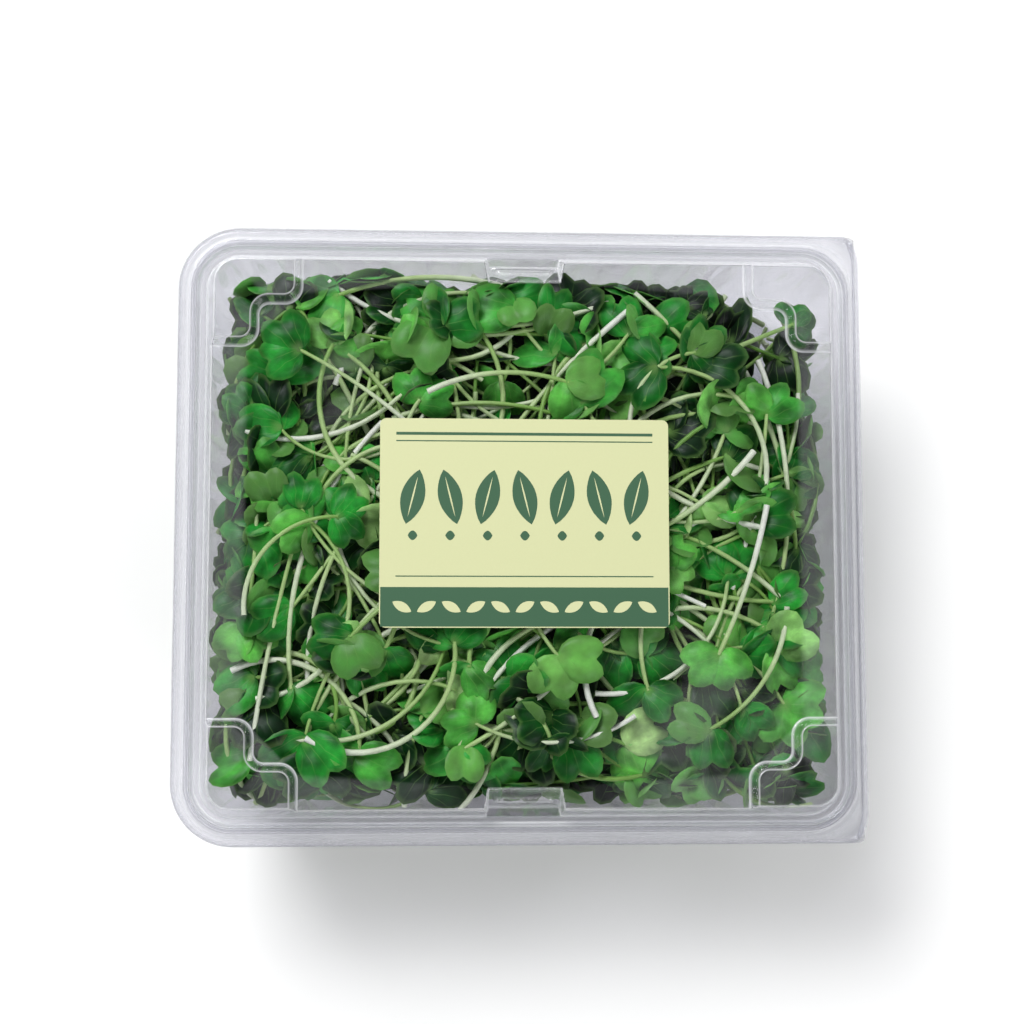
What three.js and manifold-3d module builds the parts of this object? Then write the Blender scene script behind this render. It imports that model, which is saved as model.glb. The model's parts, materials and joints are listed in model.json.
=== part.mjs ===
// A clear hinged punnet of cut daikon radish shoots, lid shut, standing on its tray.
// Millimetres, +Z up, origin on the ground under the middle. The hinge runs along Y at the +X side.
import * as THREE from "three";
import { mergeVertices } from "three/addons/utils/BufferGeometryUtils.js";
import Module from "manifold-3d";

const wasm = await Module();
wasm.setup();

// Driving sizes
const WIDTH = 218;
const DEPTH = 194;
const SHEET = 0.6;
const GAP = 0.3;
const FREE_CORNER = 19.5;
const HINGE_CORNER = 4;
const CORNER_STEPS = 6;

// Heights of the seam between tray and lid, and of the lid's panel and stacking lugs
const SEAM = 60;
const PANEL = SEAM + 8.6;
const LUG_RISE = 4;
const LUG_TOP = PANEL + LUG_RISE;

// Hinge roll along the +X edge: the axis lies in the seam
const ROLL_RADIUS = 0.9;
const HINGE_X = WIDTH / 2 - ROLL_RADIUS;
const HINGE_Z = SEAM - GAP / 2;
const ROLL_END_GAP = 1;
const ROLL_LENGTH = DEPTH - 2 * (HINGE_CORNER + ROLL_END_GAP);
const ROLL_SIDES = 12;

// Insets from the outer edge: bead, mouth of the tray, and the lid's upstand
const BEAD = { outer: 3.2, inner: 7.0, lean: 0.8, height: 2.2 };
const MOUTH = 8.4;
const FLOOR = 14;
const UPSTAND = 9.2;
const UPSTAND_LEAN = 2.2;

// Flutes pressed into the tray's wall
const FLUTE_PITCH = 9.5;
const FLUTE_DEPTH = 0.9;

// Foot ring under the tray
const FOOT_WIDTH = 11;
const FOOT_RISE = 1.5;

// Stepped stacking lugs in the lid's corners, and the finger bays in its long sides
const LUG_REACH = 38.4;
const LUG_STEP = 24.9;
const LUG_ROUND = 4.5;
const BAY = { half: 11.2, foot: 11.8, head: 17.7, bar: 8.2, barRadius: 1.1, barRise: 2.2 };

// Paper label on the lid's panel, stuck on a little towards the far long side
const LABEL = { width: 90, depth: 65, thickness: 0.3, corner: 2, shiftY: 2.7 };

// The shoots: sizes of one shoot, and how many show on each face of the heap
const STEM_RADIUS = 1.05;
const BLADE_THICKNESS = 0.7;
const BLADE_SIDE = [
  [0.3, 0.4],
  [0.72, 0.55],
  [0.98, 0.3],
];
const BLADE_NOTCH = 0.82;
const BLADE_RIB = 0.42;
const BLADE_SUNK = 0.9;
const BLADE_DRAW = {
  size: [0.86, 1.14],
  turn: [0.5, 1.25],
  length: [12, 14.5],
  width: [12.5, 15],
  fold: [0.05, 0.22],
  curl: [-0.18, 0.1],
};
const HEAP = { halfX: 86, halfY: 74, bottom: 2.7, top: 49, bulge: 1.6, power: 9 };
const HEAP_CLEAR = 1.4;
const HEAP_CEILING = 58.6;
const FACES = [
  { name: "top", columns: 5, rows: 4, spanU: 148, spanV: 122, seed: 11 },
  { name: "front", columns: 3, rows: 2, spanU: 150, spanV: 38, seed: 23 },
  { name: "back", columns: 3, rows: 2, spanU: 150, spanV: 38, seed: 37 },
  { name: "left", columns: 2, rows: 2, spanU: 124, spanV: 38, seed: 41 },
  { name: "right", columns: 2, rows: 2, spanU: 124, spanV: 38, seed: 59 },
];
const TOP_LEVEL = 51.5;
const SIDE_LEVEL = 28;
const SIDE_INSET = 3.4;
const STAGGER = 0.25;
const JITTER = 0.22;
const LOOSE = { count: 18, seed: 5, low: 61, high: 66, clear: 0.4, spanX: 87, spanY: 75, inset: 9 };
const LOOSE_ROOM = { bottom: 59.4, top: 67.6 };
const FEELER = { steps: [0, 0.2, 0.4, 0.6, 0.8, 1], side: 1.04, blade: 1.15, stemSteps: 24, stemSkin: 0.2 };
const SEED_COATS = { count: 2, radius: 1.3, spanX: 70, spanY: 60, apart: 20 };

// Repeatable random numbers from 0 to 1, the same in every run
function randomFrom(seed) {
  let state = seed >>> 0;
  return () => {
    state = (state + 0x6d2b79f5) >>> 0;
    let mixed = Math.imul(state ^ (state >>> 15), state | 1);
    mixed = (mixed + Math.imul(mixed ^ (mixed >>> 7), mixed | 61)) ^ mixed;
    return ((mixed ^ (mixed >>> 14)) >>> 0) / 4294967296;
  };
}

function between(random, low, high) {
  return low + (high - low) * random();
}

// A closed geometry as a solid that can be joined and cut
function solidOf(geometry) {
  const bare = new THREE.BufferGeometry();
  const whole = geometry.index ? geometry.toNonIndexed() : geometry;
  bare.setAttribute("position", whole.getAttribute("position"));
  const merged = mergeVertices(bare, 1e-4);
  const mesh = new wasm.Mesh({
    numProp: 3,
    vertProperties: merged.attributes.position.array,
    triVerts: new Uint32Array(merged.index.array),
  });
  return new wasm.Manifold(mesh);
}

// The largest body of a solid as a geometry: cutting can leave loose scraps
function geometryOf(solid) {
  const bodies = solid.decompose().sort((a, b) => b.volume() - a.volume());
  const mesh = bodies[0].getMesh();
  const positions = new Float32Array(mesh.numVert * 3);
  for (let i = 0; i < mesh.numVert; i++) {
    const start = i * mesh.numProp;
    positions.set(mesh.vertProperties.subarray(start, start + 3), i * 3);
  }
  const geometry = new THREE.BufferGeometry();
  geometry.setAttribute("position", new THREE.BufferAttribute(positions, 3));
  geometry.setIndex(new THREE.BufferAttribute(mesh.triVerts, 1));
  return geometry;
}

// Skins a stack of rings with the same number of points, and closes both ends with a fan
function loft(rings) {
  const count = rings[0].length;
  const points = rings.flat();
  const index = [];
  for (let r = 0; r + 1 < rings.length; r++) {
    for (let i = 0; i < count; i++) {
      const a = r * count + i;
      const b = r * count + ((i + 1) % count);
      index.push(a, b, b + count, a, b + count, a + count);
    }
  }
  const ends = [rings[0], rings[rings.length - 1]];
  ends.forEach((ring, end) => {
    const middle = new THREE.Vector3();
    ring.forEach((p) => middle.addScaledVector(p, 1 / count));
    points.push(middle);
    const centre = points.length - 1;
    const start = end * (rings.length - 1) * count;
    for (let i = 0; i < count; i++) {
      const a = start + i;
      const b = start + ((i + 1) % count);
      index.push(centre, ...(end ? [a, b] : [b, a]));
    }
  });
  const geometry = new THREE.BufferGeometry().setFromPoints(points);
  geometry.setIndex(index);
  return geometry;
}

// A rounded rectangle at a height, set in from the outer edge. Its +X side may stop at the hinge.
function outline(inset, z, { square = false, right = WIDTH / 2 } = {}) {
  const left = -WIDTH / 2 + inset;
  const front = -DEPTH / 2 + inset;
  const sides = { left, right: Math.min(right, WIDTH / 2 - inset), front, back: -front };
  const free = Math.max(FREE_CORNER - inset, 3);
  const hinged = square ? HINGE_CORNER : free;
  const corners = [
    [sides.right - hinged, sides.back - hinged, hinged, 0],
    [sides.left + free, sides.back - free, free, 1],
    [sides.left + free, sides.front + free, free, 2],
    [sides.right - hinged, sides.front + hinged, hinged, 3],
  ];
  const ring = [];
  for (const [x, y, radius, quarter] of corners) {
    for (let i = 0; i <= CORNER_STEPS; i++) {
      const angle = (quarter + i / CORNER_STEPS) * (Math.PI / 2);
      ring.push(new THREE.Vector3(x + radius * Math.cos(angle), y + radius * Math.sin(angle), z));
    }
  }
  return ring;
}

// A solid block between insets at heights, as a list of [inset, z]
function block(stages, options) {
  return solidOf(loft(stages.map(([inset, z]) => outline(inset, z, options))));
}

// The same rounded rectangle with evenly spaced points, so that flutes can be pressed into it
function flutedOutline(inset, z, depth) {
  const halfX = WIDTH / 2 - inset;
  const halfY = DEPTH / 2 - inset;
  const radius = Math.max(FREE_CORNER - MOUTH, 3);
  const straightX = 2 * (halfX - radius);
  const straightY = 2 * (halfY - radius);
  const arc = (Math.PI / 2) * radius;
  const nominal = 2 * (WIDTH - 2 * MOUTH + DEPTH - 2 * MOUTH) - (8 - 2 * Math.PI) * radius;
  const flutes = Math.round(nominal / FLUTE_PITCH);
  const wave = [0, 1, 1, 0];
  const ring = [];
  const perimeter = 2 * (straightX + straightY) + 4 * arc;
  const runs = [straightY, arc, straightX, arc, straightY, arc, straightX, arc];
  for (let i = 0; i < flutes * wave.length; i++) {
    let along = (perimeter * (i + 0.5)) / (flutes * wave.length);
    let run = 0;
    while (along > runs[run]) along -= runs[run++];
    const quarter = Math.floor(run / 2);
    const bend = run % 2 ? along / radius : 0;
    const angle = quarter * (Math.PI / 2) + bend;
    const normal = new THREE.Vector2(Math.cos(angle), Math.sin(angle));
    const signX = quarter === 0 || quarter === 3 ? 1 : -1;
    const signY = quarter < 2 ? 1 : -1;
    const centre = new THREE.Vector2(signX * (halfX - radius), signY * (halfY - radius));
    const out = radius + depth * wave[i % wave.length];
    if (run % 2 === 0) {
      const back = runs[run] - along;
      const turn = (quarter * Math.PI) / 2;
      centre.addScaledVector(new THREE.Vector2(-Math.sin(turn), Math.cos(turn)), -back);
    }
    ring.push(new THREE.Vector3(centre.x + normal.x * out, centre.y + normal.y * out, z));
  }
  return ring;
}

// Tray: fluted wall, foot ring, flat rim with a bead, and the hinge roll
function makeTray() {
  const rimTop = SEAM - GAP;
  const rimUnder = rimTop - SHEET;
  const lean = (FLOOR - MOUTH) / rimTop;
  const wallInset = (z, skin) => FLOOR + skin - lean * z;
  const wall = loft([
    flutedOutline(wallInset(0, 0), 0, 0),
    flutedOutline(wallInset(rimUnder + SHEET / 2, 0), rimUnder + SHEET / 2, FLUTE_DEPTH),
  ]);
  const over = rimTop + 1;
  const hollow = loft([
    flutedOutline(wallInset(SHEET, SHEET), SHEET, 0),
    flutedOutline(wallInset(over, SHEET), over, FLUTE_DEPTH),
  ]);
  const foot = FLOOR + FOOT_WIDTH;
  const recess = block([
    [foot, -1],
    [foot, 0],
    [foot + 1, FOOT_RISE],
  ]);
  const plateau = block([
    [foot - SHEET, 0],
    [foot - SHEET, SHEET],
    [foot - SHEET + 1, FOOT_RISE + SHEET],
  ]);
  const rim = block(
    [
      [0, rimUnder],
      [0, rimTop],
    ],
    { square: true, right: HINGE_X - ROLL_RADIUS / 2 },
  );
  const nest = SHEET + GAP;
  const beadOutside = block([
    [BEAD.outer + nest, rimTop - SHEET / 2],
    [BEAD.outer + nest, rimTop],
    [BEAD.outer + nest + BEAD.lean, rimTop + BEAD.height - GAP],
  ]);
  const beadInside = block([
    [BEAD.inner - nest, rimTop - SHEET],
    [BEAD.inner - nest, rimTop],
    [BEAD.inner - nest - BEAD.lean, rimTop + BEAD.height],
  ]);
  const rollShape = new THREE.CylinderGeometry(ROLL_RADIUS, ROLL_RADIUS, ROLL_LENGTH, ROLL_SIDES);
  const roll = solidOf(rollShape.translate(HINGE_X, 0, 0).translate(0, 0, HINGE_Z));
  const skin = solidOf(wall).subtract(recess);
  const inside = solidOf(hollow).subtract(plateau);
  return skin.add(rim).add(beadOutside.subtract(beadInside)).subtract(inside).add(roll);
}

// Stepped outline of one stacking lug, set in by the sheet for its inner face
function lugShape(signX, signY, skin) {
  const reach = LUG_REACH - skin;
  const step = LUG_STEP - skin;
  const at = (x, y) => [signX * (x - WIDTH / 2), signY * (y - DEPTH / 2)];
  const edge = UPSTAND - 4;
  const bend = LUG_ROUND;
  const shape = new THREE.Shape();
  shape.moveTo(...at(edge, edge));
  shape.lineTo(...at(reach, edge));
  shape.lineTo(...at(reach, step - bend));
  shape.quadraticCurveTo(...at(reach, step), ...at(reach - bend, step));
  shape.lineTo(...at(step + bend, step));
  shape.quadraticCurveTo(...at(step, step), ...at(step, step + bend));
  shape.lineTo(...at(step, reach - bend));
  shape.quadraticCurveTo(...at(step, reach), ...at(step - bend, reach));
  shape.lineTo(...at(edge, reach));
  shape.closePath();
  return shape;
}

// The four lugs below a drafted envelope. skin is 0 for the outer face and the sheet for the inner one.
function makeLugs(skin) {
  const lean = UPSTAND_LEAN / (PANEL - SEAM - SHEET);
  const foot = SEAM + SHEET - skin;
  const top = LUG_TOP - skin;
  const envelope = block([
    [UPSTAND + skin, foot],
    [UPSTAND + skin + lean * (top - foot), top],
  ]);
  const columns = [-1, 1].flatMap((signX) =>
    [-1, 1].map((signY) => {
      const shape = lugShape(-signX, -signY, skin);
      const column = new THREE.ExtrudeGeometry(shape, {
        depth: top - foot + 2,
        bevelEnabled: false,
        curveSegments: 4,
      });
      return solidOf(column.translate(0, 0, foot - 1));
    }),
  );
  return wasm.Manifold.union(columns).intersect(envelope);
}

// The sloping finger bays that are pressed into the lid's two long sides
function makeBays(skin) {
  const top = LUG_TOP + 1;
  const slope = (BAY.head - BAY.foot) / (PANEL - SEAM - SHEET);
  const foot = SEAM + SHEET - skin - (skin ? 1 : 0);
  const head = BAY.foot + skin + slope * (top - SEAM - SHEET);
  const bays = [-1, 1].map((side) => {
    const profile = new THREE.Shape();
    const edge = DEPTH / 2;
    profile.moveTo(side * (edge - UPSTAND + 2), foot);
    profile.lineTo(side * (edge - UPSTAND + 2), top);
    profile.lineTo(side * (edge - head), top);
    profile.lineTo(side * (edge - BAY.foot - skin), SEAM + SHEET);
    profile.lineTo(side * (edge - BAY.foot - skin), foot);
    profile.closePath();
    const half = BAY.half + skin;
    const wedge = new THREE.ExtrudeGeometry(profile, { depth: 2 * half, bevelEnabled: false });
    wedge.rotateX(Math.PI / 2).rotateZ(Math.PI / 2).translate(-half, 0, 0);
    return solidOf(wedge);
  });
  return wasm.Manifold.union(bays);
}

// A short rounded lock bar across the slope of each bay
function makeLockBars() {
  const slope = (BAY.head - BAY.foot) / (PANEL - SEAM - SHEET);
  const bars = [-1, 1].map((side) => {
    const bar = new THREE.CapsuleGeometry(BAY.barRadius, 2 * BAY.bar, 2, 8);
    bar.rotateZ(Math.PI / 2);
    const inset = BAY.foot + slope * BAY.barRise;
    bar.translate(0, side * (DEPTH / 2 - inset), SEAM + SHEET + BAY.barRise);
    return solidOf(bar);
  });
  return wasm.Manifold.union(bars);
}

// Lid: flat rim, hollow bead, drafted upstand, flat panel, stacking lugs and finger bays
function makeLid() {
  const under = SEAM;
  const top = SEAM + SHEET;
  const rim = block(
    [
      [0, under],
      [0, top],
    ],
    { square: true, right: HINGE_X - ROLL_RADIUS - GAP },
  );
  const ridge = (first, last, lean, low, high) =>
    block([
      [first, low],
      [first, top],
      [first + lean, high],
    ]).subtract(
      block([
        [last, low - 1],
        [last, top],
        [last - lean, high],
        [last - lean, high + 1],
      ]),
    );
  const beadTop = top + BEAD.height;
  const bead = ridge(BEAD.outer, BEAD.inner, BEAD.lean, under, beadTop);
  const beadHollow = ridge(BEAD.outer + SHEET, BEAD.inner - SHEET, BEAD.lean, under - 1, beadTop - SHEET);
  const dome = block([
    [UPSTAND, under],
    [UPSTAND, top],
    [UPSTAND + UPSTAND_LEAN, PANEL],
  ]);
  const domeHollow = block([
    [UPSTAND + SHEET, under - 1],
    [UPSTAND + SHEET, under],
    [UPSTAND + SHEET + UPSTAND_LEAN, PANEL - SHEET],
  ]);
  const outside = rim.add(bead).add(dome).add(makeLugs(0)).subtract(makeBays(0));
  const inside = beadHollow.add(domeHollow.add(makeLugs(SHEET)).subtract(makeBays(SHEET)));
  return outside.subtract(inside).add(makeLockBars().subtract(inside));
}

// The printed label, a thin rounded sheet on the panel
function makeLabel() {
  const { width, depth, thickness, corner } = LABEL;
  const shape = new THREE.Shape();
  const x = width / 2;
  const y = depth / 2;
  shape.moveTo(-x + corner, -y);
  shape.lineTo(x - corner, -y);
  shape.absarc(x - corner, -y + corner, corner, -Math.PI / 2, 0);
  shape.lineTo(x, y - corner);
  shape.absarc(x - corner, y - corner, corner, 0, Math.PI / 2);
  shape.lineTo(-x + corner, y);
  shape.absarc(-x + corner, y - corner, corner, Math.PI / 2, Math.PI);
  shape.lineTo(-x, -y + corner);
  shape.absarc(-x + corner, -y + corner, corner, Math.PI, 1.5 * Math.PI);
  const sheet = new THREE.ExtrudeGeometry(shape, {
    depth: thickness,
    bevelEnabled: false,
    curveSegments: 4,
  });
  return sheet.translate(0, LABEL.shiftY, PANEL + GAP);
}

// One seed leaf: a heart with its base at the origin and its notch along +X, arched along its rib
function bladeGeometry(length, width, fold, curl) {
  const lift = (x, y) => curl * x * x * length - fold * Math.abs(y) * width;
  const point = (x, y, low) => {
    const z = lift(x, y) - (low ? BLADE_THICKNESS : 0);
    return new THREE.Vector3(x * length, y * width, z);
  };
  const right = BLADE_SIDE.map(([x, y]) => [x, -y]);
  const left = BLADE_SIDE.map(([x, y]) => [x, y]).reverse();
  const edge = [[0, 0], ...right, [BLADE_NOTCH, 0], ...left];
  const points = [];
  for (const low of [false, true]) {
    points.push(point(BLADE_RIB, 0, low));
    for (const [x, y] of edge) points.push(point(x, y, low));
  }
  const layer = edge.length + 1;
  const index = [];
  for (let i = 0; i < edge.length; i++) {
    const a = 1 + i;
    const b = 1 + ((i + 1) % edge.length);
    index.push(0, a, b, layer, layer + b, layer + a);
    index.push(a, layer + a, layer + b, a, layer + b, b);
  }
  const geometry = new THREE.BufferGeometry().setFromPoints(points);
  geometry.setIndex(index);
  return geometry;
}

// Draws the numbers of one shoot lying on a face: u and v along the face, w out from it
function drawShoot(random, u, v, habit) {
  const shoot = {
    u,
    v,
    w: between(random, habit.low, habit.high),
    heading: between(random, 0, 2 * Math.PI),
    length: between(random, habit.shortest, habit.longest),
    bend: between(random, -habit.bend, habit.bend),
    blades: [],
  };
  const size = between(random, ...BLADE_DRAW.size);
  for (const side of [-1, 1]) {
    shoot.blades.push({
      turn: side * between(random, ...BLADE_DRAW.turn),
      length: size * between(random, ...BLADE_DRAW.length),
      width: size * between(random, ...BLADE_DRAW.width),
      pitch: between(random, -habit.tilt, habit.tilt),
      roll: between(random, -habit.tilt, habit.tilt),
      fold: between(random, ...BLADE_DRAW.fold) * habit.arch,
      curl: between(random, ...BLADE_DRAW.curl) * habit.arch,
    });
  }
  return shoot;
}

// The stem's middle line from the leaves to the cut end
function stemPath(shoot, habit) {
  const path = [];
  const steps = habit.steps;
  let { u, v } = shoot;
  for (let i = 0; i <= steps; i++) {
    const share = i / steps;
    path.push(new THREE.Vector3(u, v, shoot.w - habit.sink * share * share * shoot.length));
    const angle = shoot.heading + shoot.bend * (share + 0.5 / steps);
    u += (shoot.length / steps) * Math.cos(angle);
    v += (shoot.length / steps) * Math.sin(angle);
  }
  return path;
}

// A three-sided or four-sided stem round its middle line
function stemGeometry(path, sides) {
  const out = new THREE.Vector3(0, 0, 1);
  const rings = path.map((p, i) => {
    const before = path[Math.max(i - 1, 0)];
    const after = path[Math.min(i + 1, path.length - 1)];
    const along = after.clone().sub(before).normalize();
    const side = new THREE.Vector3().crossVectors(out, along).normalize();
    const up = new THREE.Vector3().crossVectors(along, side);
    return Array.from({ length: sides }, (_, k) => {
      const angle = Math.PI / 2 + (k * 2 * Math.PI) / sides;
      const ring = p.clone().addScaledVector(side, STEM_RADIUS * Math.cos(angle));
      return ring.addScaledVector(up, STEM_RADIUS * Math.sin(angle));
    });
  });
  return loft(rings);
}

// Where a blade sits: its base just inside the stem's end, turned back from the stem
function bladeMatrix(shoot, blade) {
  const heading = shoot.heading + Math.PI + blade.turn;
  return new THREE.Matrix4()
    .makeTranslation(shoot.u, shoot.v, shoot.w + BLADE_THICKNESS / 2)
    .multiply(new THREE.Matrix4().makeRotationZ(heading))
    .multiply(new THREE.Matrix4().makeRotationY(-blade.pitch))
    .multiply(new THREE.Matrix4().makeRotationX(blade.roll))
    .multiply(new THREE.Matrix4().makeTranslation(-BLADE_SUNK, 0, 0));
}

function bladeSolid(shoot, blade, place) {
  const geometry = bladeGeometry(blade.length, blade.width, blade.fold, blade.curl);
  return solidOf(geometry.applyMatrix4(bladeMatrix(shoot, blade)).applyMatrix4(place));
}

function shootSolid(shoot, habit, place) {
  const stem = stemGeometry(stemPath(shoot, habit), habit.sides).applyMatrix4(place);
  const blades = shoot.blades.map((blade) => bladeSolid(shoot, blade, place));
  return wasm.Manifold.union([solidOf(stem), ...blades]);
}

// Maps u, v, w of a face of the heap to the part's frame
function faceMatrix(name) {
  const x = WIDTH / 2 - FLOOR - SIDE_INSET;
  const y = DEPTH / 2 - FLOOR - SIDE_INSET;
  const axes = {
    top: [[1, 0, 0], [0, 1, 0], [0, 0, 1], [0, 0, TOP_LEVEL]],
    front: [[1, 0, 0], [0, 0, 1], [0, -1, 0], [0, -y, SIDE_LEVEL]],
    back: [[-1, 0, 0], [0, 0, 1], [0, 1, 0], [0, y, SIDE_LEVEL]],
    left: [[0, -1, 0], [0, 0, 1], [-1, 0, 0], [-x, 0, SIDE_LEVEL]],
    right: [[0, 1, 0], [0, 0, 1], [1, 0, 0], [x, 0, SIDE_LEVEL]],
  }[name].map((v) => new THREE.Vector3(...v));
  return new THREE.Matrix4().makeBasis(axes[0], axes[1], axes[2]).setPosition(axes[3]);
}

// Habits: shoots that grow out of the heap, on its top and its sides, and those that lie loose on it
const TOP_HABIT = {
  low: -1, high: 2.4, shortest: 26, longest: 38, bend: 1.2, tilt: 0.3, arch: 1, sink: 0.34,
  steps: 4, sides: 3,
};
const SIDE_HABIT = {
  ...TOP_HABIT, low: -1, high: 1, shortest: 21, longest: 27, bend: 0.7, tilt: 0.2, sink: 0.62,
  steps: 3,
};
const LOOSE_HABIT = {
  low: LOOSE.low, high: LOOSE.high, shortest: 44, longest: 72, bend: 2.1, tilt: 0.1, arch: 0.5,
  sink: 0, steps: 6, sides: 4,
};

// A lumpy block of packed stems, which the shoots stand out of
function makeHeapCore() {
  const { halfX, halfY, bottom, top, bulge, power } = HEAP;
  const core = new THREE.BoxGeometry(2, 2, 2, 10, 9, 3);
  const position = core.getAttribute("position");
  const p = new THREE.Vector3();
  const half = (top - bottom) / 2;
  for (let i = 0; i < position.count; i++) {
    p.fromBufferAttribute(position, i);
    const parts = Math.abs(p.x) ** power + Math.abs(p.y) ** power + Math.abs(p.z) ** power;
    p.divideScalar(parts ** (1 / power));
    const lump = bulge * Math.sin(7 * p.x + 2 * p.z) * Math.cos(6 * p.y - 3 * p.z);
    p.set(p.x * (halfX + lump), p.y * (halfY + lump), p.z * (half + (p.z > 0 ? lump : 0)));
    position.setXYZ(i, p.x, p.y, p.z + bottom + half);
  }
  return solidOf(core);
}

// Turns a shoot's stem towards the middle of its face, so that it roots in the core
function turnInward(shoot) {
  if (shoot.v * Math.sin(shoot.heading) > 0) shoot.heading = -shoot.heading;
  if (shoot.u * Math.cos(shoot.heading) > 0) shoot.heading = Math.PI - shoot.heading;
}

// The heap: the core with every face's shoots, kept clear of the tray and of the loose layer
function makeHeap() {
  const solids = [makeHeapCore()];
  for (const face of FACES) {
    const random = randomFrom(face.seed);
    const habit = face.name === "top" ? TOP_HABIT : SIDE_HABIT;
    const place = faceMatrix(face.name);
    for (let row = 0; row < face.rows; row++) {
      for (let column = 0; column < face.columns; column++) {
        const stagger = row % 2 ? STAGGER : -STAGGER;
        const jitterU = between(random, -JITTER, JITTER);
        const jitterV = between(random, -JITTER, JITTER);
        const shareU = (column + 0.5 + stagger + jitterU) / face.columns - 0.5;
        const shareV = (row + 0.5 + jitterV) / face.rows - 0.5;
        const shoot = drawShoot(random, shareU * face.spanU, shareV * face.spanV, habit);
        turnInward(shoot);
        solids.push(shootSolid(shoot, habit, place));
      }
    }
  }
  const lean = (FLOOR - MOUTH) / (SEAM - GAP);
  const inset = FLOOR + SHEET + HEAP_CLEAR;
  const floor = FOOT_RISE + SHEET + GAP;
  const room = block([
    [inset - lean * floor, floor],
    [inset - lean * HEAP_CEILING, HEAP_CEILING],
  ]);
  return wasm.Manifold.union(solids).intersect(room);
}

// Balls that stand for a shoot when asking whether two loose shoots touch, as x, y, z, radius
function feelers(shoot) {
  const balls = [];
  const path = stemPath(shoot, { ...LOOSE_HABIT, steps: FEELER.stemSteps });
  for (const p of path) balls.push([p.x, p.y, p.z, STEM_RADIUS + FEELER.stemSkin]);
  for (const blade of shoot.blades) {
    const matrix = bladeMatrix(shoot, blade);
    for (const x of FEELER.steps) {
      for (const y of FEELER.steps) {
        const side = (y - 0.5) * FEELER.side;
        const z = blade.curl * x * x * blade.length - blade.fold * Math.abs(side) * blade.width;
        const p = new THREE.Vector3(x * blade.length, side * blade.width, z);
        p.z -= BLADE_THICKNESS / 2;
        p.applyMatrix4(matrix);
        balls.push([p.x, p.y, p.z, FEELER.blade]);
      }
    }
  }
  return balls;
}

function touches(one, other, clear) {
  for (const [x, y, z, r] of one) {
    for (const [a, b, c, s] of other) {
      const reach = r + s + clear;
      if ((x - a) ** 2 + (y - b) ** 2 + (z - c) ** 2 < reach * reach) return true;
    }
  }
  return false;
}

function fitsUnderLid(balls) {
  return balls.every(([x, y, z]) => {
    const high = z > LOOSE_ROOM.bottom + STEM_RADIUS && z < LOOSE_ROOM.top - STEM_RADIUS;
    return high && Math.abs(x) < LOOSE.spanX && Math.abs(y) < LOOSE.spanY;
  });
}

// Shoots that lie loose under the lid: drawn one by one, and kept where they clear the others
function placeLooseShoots() {
  const random = randomFrom(LOOSE.seed);
  const startX = LOOSE.spanX - LOOSE.inset;
  const startY = LOOSE.spanY - LOOSE.inset;
  const kept = [];
  while (kept.length < LOOSE.count) {
    const u = between(random, -startX, startX);
    const v = between(random, -startY, startY);
    const shoot = drawShoot(random, u, v, LOOSE_HABIT);
    const balls = feelers(shoot);
    if (!fitsUnderLid(balls)) continue;
    if (kept.every((other) => !touches(balls, other.balls, LOOSE.clear))) kept.push({ shoot, balls });
  }
  return kept;
}

// Spent seed coats: small flattened balls, dropped where the loose layer leaves room
function placeSeedCoats(looseShoots) {
  const random = randomFrom(LOOSE.seed + 1);
  const { spanX, spanY, radius, apart } = SEED_COATS;
  const kept = [];
  while (kept.length < SEED_COATS.count) {
    const x = between(random, -spanX, spanX);
    const place = new THREE.Vector3(x, between(random, -spanY, spanY), LOOSE.low);
    const ball = [[place.x, place.y, place.z, radius]];
    const others = [...looseShoots.map((k) => k.balls), ...kept.map((k) => [[k.x, k.y, k.z, apart]])];
    if (others.every((other) => !touches(ball, other, LOOSE.clear))) kept.push(place);
  }
  return kept;
}

const clearSheet = new THREE.MeshStandardMaterial({
  color: 0xdfe2e4, roughness: 0.08, metalness: 0, transparent: true, opacity: 0.28,
});
const paper = new THREE.MeshStandardMaterial({ color: 0xdcdeaf, roughness: 0.55, metalness: 0 });
const leaf = new THREE.MeshStandardMaterial({ color: 0x4f8a45, roughness: 0.5, metalness: 0 });
const paleShoot = new THREE.MeshStandardMaterial({ color: 0x8fb27a, roughness: 0.5, metalness: 0 });
const seedCoat = new THREE.MeshStandardMaterial({ color: 0x7a3b2a, roughness: 0.6, metalness: 0 });

function mesh(name, geometry, material) {
  const made = new THREE.Mesh(geometry, material);
  made.name = name;
  return made;
}

const punnet = new THREE.Group();
punnet.name = "shoot_punnet";

const base = new THREE.Group();
base.add(mesh("tray", geometryOf(makeTray()), clearSheet));
base.add(mesh("shoot_heap", geometryOf(makeHeap()), leaf));
const looseShoots = placeLooseShoots();
looseShoots.forEach(({ shoot }, i) => {
  const solid = shootSolid(shoot, LOOSE_HABIT, new THREE.Matrix4());
  const name = "loose_shoot_" + String(i + 1).padStart(2, "0");
  base.add(mesh(name, geometryOf(solid), paleShoot));
});
placeSeedCoats(looseShoots).forEach((place, i) => {
  const coat = new THREE.SphereGeometry(SEED_COATS.radius, 8, 6).scale(1, 0.85, 0.75);
  const made = mesh("seed_coat_" + (i + 1), coat, seedCoat);
  made.position.copy(place);
  base.add(made);
});
punnet.add(base);

const cover = new THREE.Group();
cover.add(mesh("lid", geometryOf(makeLid()), clearSheet));
cover.add(mesh("label", makeLabel(), paper));
punnet.add(cover);

export default punnet;
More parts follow.
